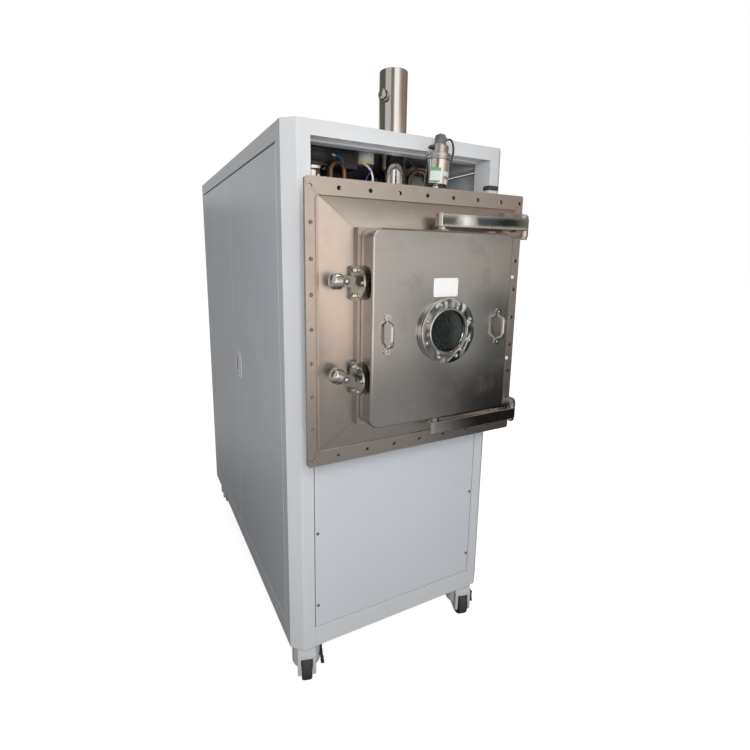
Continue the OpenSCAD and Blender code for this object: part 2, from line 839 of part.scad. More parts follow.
module hinge_brackets() color("silver") place() {
    difference() {
        union() {
            hinge_pad(ear_up_z, ear_up_z + pad_h);
            translate([0, 0, ear_up_z]) linear_extrude(ear_h) ear_plan();
            hinge_pad(ear_low_z + ear_h - pad_h, ear_low_z + ear_h);
            translate([0, 0, ear_low_z]) linear_extrude(ear_h) ear_plan();
        }
        translate([pivot_x, -pin_out, ear_low_z - over])
            cylinder(d = pin_d, h = ear_up_z - ear_low_z + ear_h + 2 * over);
    }
}

// A hinge bolt from z0 upward: head below, nut above, `grip` between.
module hinge_bolt(z0, grip) {
    translate([0, 0, z0 - nut_h]) hex(nut_w, nut_h);
    translate([0, 0, z0]) cylinder(d = pin_d, h = grip);
    translate([0, 0, z0 + grip]) hex(nut_w, nut_h);
    translate([0, 0, z0 + grip + nut_h]) cylinder(d = pin_d, h = pin_over);
}

module hinge_pins() color("silver") place() translate([pivot_x, -pin_out, 0]) {
    hinge_bolt(ear_up_z, arm_up_z + arm_h + gap - ear_up_z);
    translate([0, 0, ear_up_z + ear_h]) difference() {
        cylinder(d = arm_t, h = arm_up_z - gap - ear_up_z - ear_h);
        cylinder(d = pin_d, h = arm_h);
    }
    translate([0, 0, 2 * chamber_z]) mirror([0, 0, 1]) translate([0, 0, low_shift]) {
        hinge_bolt(ear_up_z, arm_up_z + arm_h + gap - ear_up_z);
        translate([0, 0, ear_up_z + ear_h]) difference() {
            cylinder(d = arm_t, h = arm_up_z - gap - ear_up_z - ear_h);
            cylinder(d = pin_d, h = arm_h);
        }
    }
}

// One polished arm from the hinge pin to the door pin.
module arm(z0) difference() {
    union() {
        translate([pivot_x, -pin_out, z0]) cylinder(d = arm_t, h = arm_h);
        translate([0, -pin_out, z0]) linear_extrude(arm_h) polygon([
            [pivot_x, -arm_t / 2], [pivot_x, arm_t / 2], [door_pin_x - arm_end, arm_t / 2],
            [door_pin_x - arm_end, arm_bevel - arm_t / 2], [door_pin_x - arm_end + arm_bevel, -arm_t / 2]]);
    }
    for (x = [door_pin_x, pivot_x]) translate([x, -pin_out, z0 - over])
        cylinder(d = pin_d + 2 * run, h = arm_h + 2 * over);
}

module upper_arm() color("lightgray") place() arm(arm_up_z);
module lower_arm() color("lightgray") place() arm(arm_low_z);

// ---------- door ----------

// The door's outline, `in` smaller all round.
module door_plan(in) round_rect(door_w - 2 * in, door_h - 2 * in, door_r - in);

// Slab with a rounded front edge, from thin layers that follow the edge's arc.
module door_slab() hull() {
    e = door_edge;
    chamber_face(door_front - e, door_t - e) door_plan(0);
    for (a = [18 : 18 : 90])
        chamber_face(door_front - e + e * sin(a), over) door_plan(e * (1 - cos(a)));
}

module door_shell() color("lightgray") place() difference() {
    door_slab();
    chamber_face(door_front - door_wall, door_t) door_plan(door_wall);
    rod_y(0, face_z, spigot_r, door_front + over, door_t);
}

module door_liner() color("silver") place() {
    chamber_face(door_back + door_wall, door_wall) difference() {
        door_plan(door_wall);
        translate([0, -face_drop]) circle(tube_r - tube_wall);
    }
    chamber_face(door_front - spigot_d, door_t - spigot_d - over) translate([0, -face_drop]) difference() {
        circle(tube_r);
        circle(tube_r - tube_wall);
    }
}

module sight_base() color("silver") place() difference() {
    union() {
        rod_y(0, face_z, sight_d / 2, door_front + base_t, base_t);
        rod_y(0, face_z, spigot_r, door_front, spigot_d);
    }
    rod_y(0, face_z, glass_r + gap, door_front + base_t + over, glass_t + seal_t + over);
    rod_y(0, face_z, sight_bore / 2, door_front, spigot_d + over);
}

module sight_ring() color("silver") place() chamber_face(sight_front, sight_t)
    translate([0, -face_drop]) difference() {
        circle(d = sight_d, $fn = 96);
        circle(d = sight_bore, $fn = 96);
    }

// Glass disc with its thin gasket face behind the cover ring.
module sight_glass() color("lightcyan") place()
    rod_y(0, face_z, glass_r, door_front + base_t, glass_t + seal_t);

// A round screw head that stands out of y = -out, with a hexagon socket.
module screw_head(r, h, out) difference() {
    rod_y(0, 0, r, out + h, h, $fn = 24);
    rod_y(0, 0, r / 2, out + h + over, h / 2 + over, $fn = 6);
}

module door_screws() color("silver") place() {
    for (i = [0 : sight_n - 1]) translate([0, 0, face_z]) rotate([0, 360 / sight_n * (i + 0.5), 0])
        translate([0, 0, sight_pcd / 2]) screw_head(5, 4, sight_front);
    for (x = sides, z = sides) translate([x * handle_x, 0, face_z + z * (handle_h / 2 - tab_l / 2)])
        screw_head(4, 2, door_front + tab_t);
}

// Strap outline: X is height, Y is how far it stands out.
module handle_side() {
    a = handle_h / 2;
    difference() {
        polygon([[-a, 0], [-a, tab_t], [-a + tab_l, tab_t], [-grip_l / 2, handle_out],
                 [grip_l / 2, handle_out], [a - tab_l, tab_t], [a, tab_t], [a, 0]]);
        polygon([[-a + tab_l + tab_t, -over], [-a + tab_l + tab_t, tab_t / 4],
                 [-grip_l / 2 + tab_t, handle_out - strap_t], [grip_l / 2 - tab_t, handle_out - strap_t],
                 [a - tab_l - tab_t, tab_t / 4], [a - tab_l - tab_t, -over]]);
    }
}

// Round ended tab of the handle, its screw at the origin, the strap towards -Z.
module handle_tab() {
    rod_y(0, 0, tab_w / 2, door_front + tab_t, tab_t);
    block([-handle_w / 2, -door_front - tab_t, -tab_l / 2], [handle_w / 2, -door_front, 0]);
}

module door_handles() color("silver") place() for (s = sides) translate([s * handle_x, 0, face_z]) {
    translate([-handle_w / 2, -door_front, 0]) rotate([180, 0, 0]) rotate([0, 90, 0])
        linear_extrude(handle_w) handle_side();
    translate([0, 0, handle_h / 2 - tab_l / 2]) handle_tab();
    translate([0, 0, tab_l / 2 - handle_h / 2]) mirror([0, 0, 1]) handle_tab();
}

module door_lugs() color("silver") place() {
    z0 = door_top;
    z1 = door_low;
    clear_z = chamber_z + neck_z + lug_clear;
    low_clear = chamber_z - neck_z - lug_clear;
    for (x = [door_pin_x, handle_x]) block([x - arm_t / 2, -pin_out - arm_t / 2, z0],
        [x + arm_t / 2, -door_back - lug_in, clear_z + lug_t]);
    block([door_pin_x - arm_t / 2, -pin_out - arm_t / 2, low_clear - lug_t],
          [door_pin_x + arm_t / 2, -door_back - lug_in, z1]);
    // bosses and pins
    translate([door_pin_x, -pin_out, clear_z]) cylinder(d = arm_t, h = arm_up_z - gap - clear_z);
    translate([door_pin_x, -pin_out, arm_low_z + arm_h + gap])
        cylinder(d = arm_t, h = low_clear - arm_low_z - arm_h - gap);
    translate([door_pin_x, -pin_out, clear_z]) cylinder(d = pin_d, h = arm_up_z + arm_h - clear_z);
    translate([door_pin_x, -pin_out, arm_low_z]) cylinder(d = pin_d, h = low_clear - arm_low_z);
    translate([door_pin_x, -pin_out, arm_up_z + arm_h + gap])
        cylinder(r1 = pin_d * 0.75, r2 = pin_d * 0.6, h = cone_h);
    translate([door_pin_x, -pin_out, arm_up_z + arm_h - over]) cylinder(d = pin_d, h = over + gap);
    translate([door_pin_x, -pin_out, arm_low_z - gap - cone_h])
        cylinder(r1 = pin_d * 0.6, r2 = pin_d * 0.75, h = cone_h);
    translate([door_pin_x, -pin_out, arm_low_z - gap]) cylinder(d = pin_d, h = over + gap);
}

module label_plate() color("whitesmoke") place()
    translate([-plate_w / 2 - label_left, -door_front - label_t, face_z + sight_d / 2 + label_up])
        cube([plate_w, label_t, plate_h]);

// ---------- latches ----------

module stadium(w, h) {
    square([w, h - w], center = true);
    for (s = sides) translate([0, s * (h - w) / 2]) circle(d = w);
}

// Cheek plate beside each latch and, behind the block, the boss that carries its pin.
module latch_bases() color("silver") place() for (s = sides) difference() {
    translate([0, 0, chamber_z + s * latch_z]) {
        translate([-latch_base_x, 0, -base_drop]) upright(latch_front, latch_front - flange_out)
            stadium(latch_base_w, latch_base_h);
        block([-latch_x, -latch_front, -latch_base_w / 2], [-latch_base_x, -flange_out, latch_base_w / 2]);
        rod_y(-latch_x, 0, latch_base_w / 2, latch_front, latch_front - flange_out);
        rod_y(-latch_x, 0, latch_pin_r, latch_front + latch_block + 2 * gap, latch_block + 3 * gap);
        rod_y(-latch_x, 0, latch_pin_r + pin_cap_over, latch_front + latch_block + 2 * gap + pin_cap, pin_cap);
    }
    hood_solid(0);
}

module latch_bolts() color("silver") place() for (s = sides, z = sides) {
    z0 = chamber_z + s * latch_z - base_drop + z * (latch_base_h / 2 - bolt_in);
    difference() {
        rod_y(-latch_base_x, z0, bolt_cap_r, latch_front + 2 * over, 2 * over, $fn = 32);
        rod_y(-latch_base_x, z0, bolt_cap_r / 2, latch_front + 3 * over, 2 * over, $fn = 6);
    }
}

// Latch block with its knob, about its own pivot at the origin, knob to the left.
module latch_knob() {
    y0 = -latch_front - gap;
    difference() {
        block([-block_left, y0 - latch_block, -block_half], [block_right, y0, block_half]);
        rod_y(0, 0, latch_pin_r + run, latch_front + latch_block + over + gap, latch_block + 2 * over);
    }
    r = knob_d / 2;
    translate([-block_left, y0 - knob_in, 0]) rotate([0, -90, 0]) rotate_extrude() intersection() {
        translate([0, knob_l - 2 * r]) circle(2 * r, $fn = 96);
        square([r, knob_l]);
    }
}

module upper_latch_knob() color("lightgray") place()
    translate([-latch_x, 0, chamber_z + latch_z]) latch_knob();
module lower_latch_knob() color("lightgray") place()
    translate([-latch_x, 0, chamber_z - latch_z]) rotate([0, low_turn, 0]) latch_knob();

// ---------- inside the chamber ----------

module shelves() color("silver") place() for (i = [0 : shelf_n - 1])
    translate([-shelf_x, shelf_y, shelf_z0 + i * shelf_pitch]) cube([2 * shelf_x, shelf_d, shelf_t]);

module shelf_rack() color("gray") place()
    for (s = sides, y = [shelf_y + post_in, shelf_y + shelf_d - post_in - shelf_post]) {
        x0 = s < 0 ? -shelf_x - shelf_post : shelf_x;
        block([x0, y, chamber_z - mouth_z],
              [x0 + shelf_post, y + shelf_post, shelf_z0 + shelf_n * shelf_pitch]);
    }

module cold_plates() color("lightsteelblue") place() for (s = sides) {
    x0 = s < 0 ? -mouth_x : mouth_x - cold_t;
    block([x0, shelf_y, chamber_z - mouth_z + plate_in],
          [x0 + cold_t, chamber_d - plate_end, chamber_z + mouth_z - plate_in]);
}

// ---------- on and in the top ----------

module stack_pipe() color("silver") place() translate([stack_x, stack_y, 0]) difference() {
    union() {
        translate([0, 0, jacket_top]) cylinder(d = stack_d, h = stack_top - jacket_top, $fn = 64);
        translate([0, 0, port_z]) rotate([0, 0, port_turn]) rod_x(0, 0, 0, port_r, stack_d / 2 + port_l);
    }
    translate([0, 0, jacket_top + stack_floor])
        cylinder(d = stack_d - 2 * stack_wall, h = stack_top, $fn = 64);
}

// The gauge leans a little to the right about its foot on the chamber.
module on_gauge(up) translate([gauge_x, -gauge_out, jacket_top]) rotate([0, gauge_tilt, 0])
    translate([0, 0, up - jacket_top]) children();

module vacuum_gauge() color("silver") place() difference() {
    union() {
        on_gauge(jacket_top - gauge_sink) cylinder(r = gauge_neck_r, h = gauge_z - jacket_top + gauge_sink);
        on_gauge(gauge_z - gauge_nut_down) cylinder(r = gauge_nut_r, h = gauge_nut_h);
        on_gauge(gauge_z) cylinder(d = gauge_d, h = clamp_up + over);
        on_gauge(gauge_z + clamp_up) cylinder(d = gauge_d + 2 * clamp_over, h = clamp_h);
        on_gauge(gauge_z + clamp_up) cylinder(r = gauge_head_r, h = gauge_h - clamp_up);
        on_gauge(gauge_z + gauge_h)
            cylinder(r1 = gauge_head_r, r2 = gauge_head_r - gauge_cap_in, h = gauge_cap);
    }
    block([gauge_x - gauge_d, -gauge_out - gauge_d, jacket_top - gauge_d],
          [gauge_x + gauge_d, -gauge_out + gauge_d, jacket_top]);
}

module gauge_lead() color("dimgray") place() on_gauge(gauge_z + gauge_h + gauge_cap) {
    translate([-lead_foot.x / 2, -lead_foot.y / 2, 0]) cube(lead_foot);
    translate([lead_body_x, -lead_body.y / 2, lead_foot.z]) cube(lead_body);
    translate([lead_gland_x, 0, lead_gland_z]) rotate([0, lead_gland_turn, 0])
        cylinder(r = lead_gland_r, h = lead_gland_l);
}

module isolation_valve() color("black") place() translate([valve_x, valve_y, 0]) {
    translate([0, 0, jacket_top]) cylinder(r = valve_neck_r, h = valve_rise);
    translate([0, 0, jacket_top + valve_disc_up]) cylinder(r = valve_disc_r, h = valve_disc_t);
    translate([0, 0, valve_z - valve_disc_down]) cylinder(r = valve_disc_r, h = valve_disc_t);
    translate([0, 0, valve_z]) cylinder(r = valve_r, h = valve_h);
}

module control_box() color("black") place() {
    block([box_x, box_y, pan_top - box_h], [box_x + box_w, box_y + box_d, pan_top]);
    translate([can_x, can_y, pan_top - can_h]) cylinder(r = can_r, h = can_h);
}

// An inverted U of tube, feet on the jacket at `at`: `w` between its legs, `rise` to its bend's axis.
module u_tube(at, w, turn, rise) translate([at.x, at.y, jacket_top]) rotate([0, 0, turn]) {
    h = rise - w / 2;
    for (s = sides) translate([s * w / 2, 0, 0]) cylinder(r = copper_r, h = h, $fn = 24);
    translate([0, 0, h]) rotate([90, 0, 0]) intersection() {
        rotate_extrude() translate([w / 2, 0]) circle(copper_r, $fn = 24);
        translate([-w, 0, -w]) cube([2 * w, w, 2 * w]);
    }
}

module copper_pipes() color("sienna") place() {
    u_tube(left_tube, left_tube_w, left_tube_turn, left_tube_h);
    u_tube(right_tube, right_tube_w, right_tube_turn, right_tube_h);
}

module switch_cabinet() color("gray") place()
    block([rail_x - cabinet_in - cabinet_w, cabinet_y, jacket_top],
          [rail_x - cabinet_in, cabinet_y + cabinet_d, jacket_top + cabinet_h]);

module compressor() color("darkslategray") place() translate([comp_x, comp_y, floor_z]) {
    z0 = comp_foot_h - comp_sink;
    z1 = z0 + comp_base_t;
    for (x = sides, y = sides) translate([x * comp_foot, y * comp_foot, 0])
        cylinder(r = comp_foot_r, h = comp_foot_h, $fn = 24);
    block([-comp_base, -comp_base, z0], [comp_base, comp_base, z1]);
    translate([0, 0, z1]) cylinder(r = comp_r, h = comp_h);
    translate([0, 0, z1 + comp_h]) cylinder(r1 = comp_r, r2 = comp_dome_r, h = comp_dome_h);
}

module vacuum_pump() color("dimgray") place() translate([pump_x, pump_y, floor_z]) {
    for (y = [pump_rail_front, pump_rail_back])
        block([-pump_rail_x, y, 0], [pump_rail_x, y + pump_rail_w, pump_rail_h]);
    translate([-pump_body.x / 2, pump_body_y, pump_rail_h]) cube(pump_body);
    translate([0, pump_body_y + pump_body.y, motor_z]) rotate([-90, 0, 0]) cylinder(r = motor_r, h = motor_l);
}

// ---------- one node each ----------

front_posts();
rear_posts();
cross_rails();
side_rails();
floor_pan();
top_panel();
rear_panel();
left_front_panel();
left_rear_panel();
right_front_panel();
right_rear_panel();
lower_front_panel();
panel_screws();
post_strip();
caster_plates();
front_left_fork();
front_right_fork();
rear_left_fork();
rear_right_fork();
front_left_wheel();
front_right_wheel();
rear_left_wheel();
rear_right_wheel();
front_left_pedal();
front_right_pedal();
wall_flange();
hood();
chamber();
jacket();
door_seal();
hinge_brackets();
hinge_pins();
hood_plugs();
latch_bases();
latch_bolts();
upper_latch_knob();
lower_latch_knob();
upper_arm();
lower_arm();
door_shell();
door_liner();
sight_base();
sight_ring();
sight_glass();
door_screws();
door_handles();
door_lugs();
label_plate();
shelves();
shelf_rack();
cold_plates();
stack_pipe();
vacuum_gauge();
gauge_lead();
isolation_valve();
control_box();
copper_pipes();
switch_cabinet();
compressor();
vacuum_pump();
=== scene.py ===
"""Pilot freeze dryer: finishes, small detail, studio and camera round the CAD frame.

The frame is in metres: X right seen from the door, Y back, Z up. Shapes are given in mm, and at()
places them; the studio and the camera are in metres.
"""
import json
import math

import bmesh
import bpy
from mathutils import Matrix, Vector

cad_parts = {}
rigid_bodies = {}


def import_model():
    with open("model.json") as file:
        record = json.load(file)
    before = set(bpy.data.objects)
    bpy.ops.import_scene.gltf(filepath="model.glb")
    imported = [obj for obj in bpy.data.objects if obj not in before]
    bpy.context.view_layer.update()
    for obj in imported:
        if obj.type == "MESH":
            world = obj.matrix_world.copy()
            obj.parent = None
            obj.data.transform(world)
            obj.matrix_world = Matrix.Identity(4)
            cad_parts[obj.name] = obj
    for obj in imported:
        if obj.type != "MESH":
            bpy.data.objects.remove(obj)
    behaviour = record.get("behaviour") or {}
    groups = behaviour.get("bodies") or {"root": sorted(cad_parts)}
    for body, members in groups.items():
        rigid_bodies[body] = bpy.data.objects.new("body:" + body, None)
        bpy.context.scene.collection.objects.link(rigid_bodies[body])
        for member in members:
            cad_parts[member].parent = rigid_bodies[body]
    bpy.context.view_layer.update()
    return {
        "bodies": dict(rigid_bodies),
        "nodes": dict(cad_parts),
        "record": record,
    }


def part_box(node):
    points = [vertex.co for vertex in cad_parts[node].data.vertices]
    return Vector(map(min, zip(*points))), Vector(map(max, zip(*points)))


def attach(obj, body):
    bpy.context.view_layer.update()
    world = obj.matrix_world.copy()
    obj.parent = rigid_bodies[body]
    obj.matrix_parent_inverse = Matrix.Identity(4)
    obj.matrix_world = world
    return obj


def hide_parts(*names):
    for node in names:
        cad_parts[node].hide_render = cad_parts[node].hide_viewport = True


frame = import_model()
NODES = frame["nodes"]
MM = 0.001


# ---------- node trees ----------

class Tree:
    """The emptied node tree of a material or world, with short names for its nodes."""

    def __init__(self, owner):
        owner.use_nodes = True
        self.tree = owner.node_tree
        self.tree.nodes.clear()

    def add(self, kind, **settings):
        """A new node with some of its properties set."""
        node = self.tree.nodes.new(kind)
        for key, value in settings.items():
            setattr(node, key, value)
        return node

    def feed(self, socket, value):
        """Sets a socket to a number or a colour, or links it to an output."""
        if isinstance(value, (int, float)):
            socket.default_value = value
        elif isinstance(value, tuple):
            socket.default_value = (*value, 1) if len(socket.default_value) == 4 else value
        else:
            self.tree.links.new(value, socket)

    def fill(self, kind, inputs, output=0, **settings):
        """A new node whose inputs, by name or number, are fed; gives one of its outputs."""
        node = self.add(kind, **settings)
        for key, value in inputs.items():
            self.feed(node.inputs[key], value)
        return node.outputs[output]

    def end(self, kind, shader):
        """The tree's output node."""
        self.feed(self.add(kind).inputs["Surface"], shader)

    def math(self, operation, a, b=0.0, clamp=False):
        """One sum of two numbers."""
        return self.fill("ShaderNodeMath", {0: a, 1: b}, operation=operation, use_clamp=clamp)

    def ramp(self, fac, stops):
        """A colour ramp of (position, colour or grey) stops."""
        node = self.add("ShaderNodeValToRGB")
        self.feed(node.inputs["Fac"], fac)
        while len(node.color_ramp.elements) < len(stops):
            node.color_ramp.elements.new(0.5)
        for element, (position, colour) in zip(node.color_ramp.elements, stops):
            element.position = position
            element.color = (*(colour if isinstance(colour, tuple) else (colour,) * 3), 1)
        return node.outputs["Color"]

    def span(self, fac, low, high):
        """Turns 0..1 into low..high."""
        return self.fill("ShaderNodeMapRange", {"Value": fac, "To Min": low, "To Max": high}, "Result")

    def rise(self, value, low, high, at_low=0.0, at_high=1.0):
        """Goes smoothly from one number to another while a value rises from low to high."""
        ends = {"From Min": low, "From Max": high, "To Min": at_low, "To Max": at_high}
        return self.fill("ShaderNodeMapRange", {"Value": value, **ends}, "Result",
                         interpolation_type="SMOOTHSTEP")

    def mix(self, fac, a, b):
        """Blends two colours; sockets 6 and 7 are the mix node's colour inputs."""
        return self.fill("ShaderNodeMix", {0: fac, 6: a, 7: b}, 2, data_type="RGBA")

    def choose(self, fac, first, second):
        """One shader where the factor is 0, the other where it is 1."""
        return self.fill("ShaderNodeMixShader", {0: fac, 1: first, 2: second})

    def split(self, place):
        """The three coordinates of a place."""
        node = self.add("ShaderNodeSeparateXYZ")
        self.feed(node.inputs[0], place)
        return tuple(node.outputs)

    def azimuth(self, place):
        """The angle of a place from -Y towards +X, in radians."""
        x, y, _ = self.split(place)
        return self.math("ARCTAN2", x, self.math("MULTIPLY", y, -1.0))


class Finish(Tree):
    """One material with a Principled shader."""

    def __init__(self, name, colour, rough, metal=0.0, **sockets):
        self.material = bpy.data.materials.new(name)
        super().__init__(self.material)
        self.shader = self.add("ShaderNodeBsdfPrincipled")
        self.end("ShaderNodeOutputMaterial", self.shader.outputs[0])
        self.set(Base_Color=colour, Roughness=rough, Metallic=metal, **sockets)
        self.place = self.fill("ShaderNodeTexCoord", {}, "Object")

    def set(self, **sockets):
        """Feeds the shader's sockets, named with _ for a space, and gives the material."""
        for socket, value in sockets.items():
            self.feed(self.shader.inputs[socket.replace("_", " ")], value)
        return self.material

    def stretched(self, scale):
        """The object's place, scaled along each axis."""
        return self.fill("ShaderNodeMapping", {"Vector": self.place, "Scale": scale})

    def noise(self, scale, detail=2.0, rough=0.5, place=None):
        """Noise over the object's place, or over another one."""
        place = self.place if place is None else place
        inputs = {"Vector": place, "Scale": scale, "Detail": detail, "Roughness": rough}
        return self.fill("ShaderNodeTexNoise", inputs, "Fac")

    def grain(self, axis):
        """Brush lines that run along one axis."""
        scale = [GRAIN_FINE] * 3
        scale["XYZ".index(axis)] = GRAIN_LONG
        return self.noise(1.0, 3, 0.65, self.stretched(tuple(scale)))

    def bump(self, height, strength, depth, normal=None):
        """A normal raised by a height, on top of another normal if one is given."""
        inputs = {"Height": height, "Strength": strength, "Distance": depth}
        if normal is not None:
            inputs["Normal"] = normal
        return self.fill("ShaderNodeBump", inputs)


# ---------- finishes ----------

GRAIN_FINE = 900  # brush lines per metre across the grain
GRAIN_LONG = 7  # and along it

# the hood's mitre lines run from the flange's corners to the neck's, seen about the chamber's centre
HOOD_FOOT = (0.367, 0.376)
HOOD_NECK = (0.264, 0.289)
MITRE_RISE = (HOOD_FOOT[1] - HOOD_NECK[1]) / (HOOD_FOOT[0] - HOOD_NECK[0])
MITRE_AT = HOOD_FOOT[1] - MITRE_RISE * HOOD_FOOT[0]
WELD_TINT = (0.42, 0.35, 0.28)


def tone(colour, share):
    """A colour made darker or lighter by a factor."""
    return tuple(share * c for c in colour)


def powder_coat(name, colour, rough=0.36):
    """Semi-gloss powder coat: orange peel, faint clouds and fine dust."""
    f = Finish(name, colour, rough, Coat_Weight=0.25, Coat_Roughness=0.18, Specular_IOR_Level=0.45)
    shade = f.mix(f.noise(1.7, 4, 0.55), tone(colour, 0.94), tone(colour, 1.03))
    soiled = f.mix(f.span(f.noise(38, 5, 0.6), 0.0, 0.10), shade, tone(colour, 0.72))
    swell = f.bump(f.noise(9, 2, 0.5), 0.12, 0.0016)
    return f.set(Base_Color=soiled, Roughness=f.span(f.noise(6, 3), rough - 0.05, rough + 0.07),
                 Normal=f.bump(f.noise(520, 2, 0.5), 0.10, 0.00012, swell))


def brushed_steel(name, colour, rough, stain, grain, aniso):
    """Stainless sheet brushed up and down: streaks, cloudy patches and a few dull smudges."""
    f = Finish(name, colour, rough, 1.0, Anisotropic=aniso, Specular_IOR_Level=0.5)
    lines = f.grain("Z")
    smudge = f.ramp(f.noise(13, 5, 0.62), [(0.50, 0.0), (0.72, 1.0)])
    streaked = f.mix(f.span(lines, 0.0, 0.42 * grain), colour, tone(colour, 0.74))
    clouded = f.mix(f.span(f.noise(4.2, 4, 0.6), 0.0, 0.34), streaked, tone(colour, 0.80))
    stained = f.mix(f.math("MULTIPLY", smudge, stain), clouded, tone(colour, 0.62))
    rough_lines = f.span(lines, rough - 0.06, rough + 0.10)
    rough_all = f.math("ADD", rough_lines, f.span(smudge, 0.0, 0.12))
    return f.set(Base_Color=stained, Roughness=rough_all, Normal=f.bump(lines, 0.06 * grain, 0.0001))


def mitred_steel(name, colour, rough):
    """Flange and hood: the grain follows each side of the frame and the welds are tinted."""
    f = Finish(name, colour, rough, 1.0, Specular_IOR_Level=0.5)
    flange_lo, flange_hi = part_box("wall_flange")
    x, _, z = f.split(f.place)
    height = f.math("ABSOLUTE", f.math("SUBTRACT", z, (flange_lo.z + flange_hi.z) / 2))
    slope = f.math("MULTIPLY", f.math("ABSOLUTE", x), MITRE_RISE)
    mitre = f.math("SUBTRACT", f.math("SUBTRACT", height, slope), MITRE_AT)
    lines = f.mix(f.math("GREATER_THAN", mitre, 0.0), f.grain("Z"), f.grain("X"))
    smudge = f.ramp(f.noise(15, 5, 0.62), [(0.52, 0.0), (0.74, 1.0)])
    streaked = f.mix(f.span(lines, 0.0, 0.4), colour, tone(colour, 0.76))
    clouded = f.mix(f.span(f.noise(5.0, 4, 0.6), 0.0, 0.3), streaked, tone(colour, 0.82))
    stained = f.mix(f.math("MULTIPLY", smudge, 0.25), clouded, tone(colour, 0.6))
    off_seam = f.math("MULTIPLY", f.math("ABSOLUTE", mitre), 90.0, clamp=True)
    seam = f.math("SUBTRACT", 1.0, off_seam, clamp=True)
    tinted = f.mix(f.math("MULTIPLY", seam, 0.35), stained, WELD_TINT)
    return f.set(Base_Color=tinted, Roughness=f.span(lines, rough - 0.06, rough + 0.1),
                 Normal=f.bump(lines, 0.06, 0.0001))


def polished_steel(name, colour=(0.78, 0.77, 0.75), rough=0.04, spread=0.07):
    """Polished, satin or cast steel, the cast one darkened partly as painted shade: faint waves and
    hairlines.
    """
    f = Finish(name, colour, rough, 1.0)
    wear = f.noise(60, 4, 0.6)
    hair = f.noise(1.0, 2, 0.6, f.stretched((240, 1400, 240)))
    return f.set(Base_Color=f.mix(f.span(wear, 0.0, 0.35), colour, tone(colour, 0.7)),
                 Roughness=f.span(wear, rough, rough + spread),
                 Normal=f.bump(hair, 0.04, 0.00008, f.bump(f.noise(26, 2), 0.10, 0.0006)))


def wavy_mirror(name, colour, rough):
    """Mirror polished ring, a little wavy, so that it breaks up what it mirrors."""
    f = Finish(name, colour, rough, 1.0)
    wear = f.noise(80, 4, 0.6)
    waves = f.bump(f.noise(17, 1), 0.55, 0.006)
    return f.set(Base_Color=f.mix(f.span(wear, 0.0, 0.3), colour, tone(colour, 0.7)),
                 Roughness=f.span(wear, rough, rough + 0.05),
                 Normal=f.bump(f.noise(420, 2), 0.05, 0.0001, waves))


def moulded(name, colour, rough=0.5, pores=900, dust=0.12):
    """Moulded plastic or rubber: fine pores, paler rubbed patches and dust."""
    f = Finish(name, colour, rough)
    patches = f.noise(22, 4, 0.6)
    pale = tuple(min(1.0, c + 0.10) for c in colour)
    return f.set(Base_Color=f.mix(f.span(patches, 0.0, dust * 2), colour, pale),
                 Roughness=f.span(patches, rough - 0.08, rough + 0.12),
                 Normal=f.bump(f.noise(pores, 2), 0.15, 0.0001))


def zinc(name):
    """Zinc plated sheet with its spangle."""
    f = Finish(name, (0.60, 0.60, 0.59), 0.4, 1.0)
    spangle = f.fill("ShaderNodeTexVoronoi", {"Vector": f.place, "Scale": 160}, "Distance")
    shade = f.mix(f.span(spangle, 0.0, 0.5), (0.62, 0.62, 0.61), (0.44, 0.45, 0.46))
    return f.set(Base_Color=shade, Roughness=f.span(f.noise(30), 0.3, 0.5))


def dull_foil(name):
    """Aluminium skin over the insulation, creased."""
    f = Finish(name, (0.50, 0.50, 0.50), 0.42, 1.0)
    crease = f.noise(24, 5, 0.7)
    return f.set(Base_Color=f.mix(crease, (0.56, 0.56, 0.56), (0.36, 0.36, 0.37)),
                 Normal=f.bump(crease, 0.5, 0.004))


def old_copper(name):
    """Copper tube with brown patches."""
    f = Finish(name, (0.42, 0.26, 0.16), 0.35, 1.0)
    patches = f.noise(30, 5, 0.65)
    return f.set(Base_Color=f.mix(patches, (0.45, 0.30, 0.20), (0.14, 0.09, 0.06)),
                 Roughness=f.span(patches, 0.25, 0.6))


def sight_glass(name):
    """Thick glass, faintly green."""
    f = Finish(name, (0.42, 0.52, 0.50), 0.02, Transmission_Weight=1.0, IOR=1.47)
    return f.set(Roughness=f.span(f.noise(9, 3), 0.0, 0.05), Normal=f.bump(f.noise(4, 2), 0.02, 0.001))


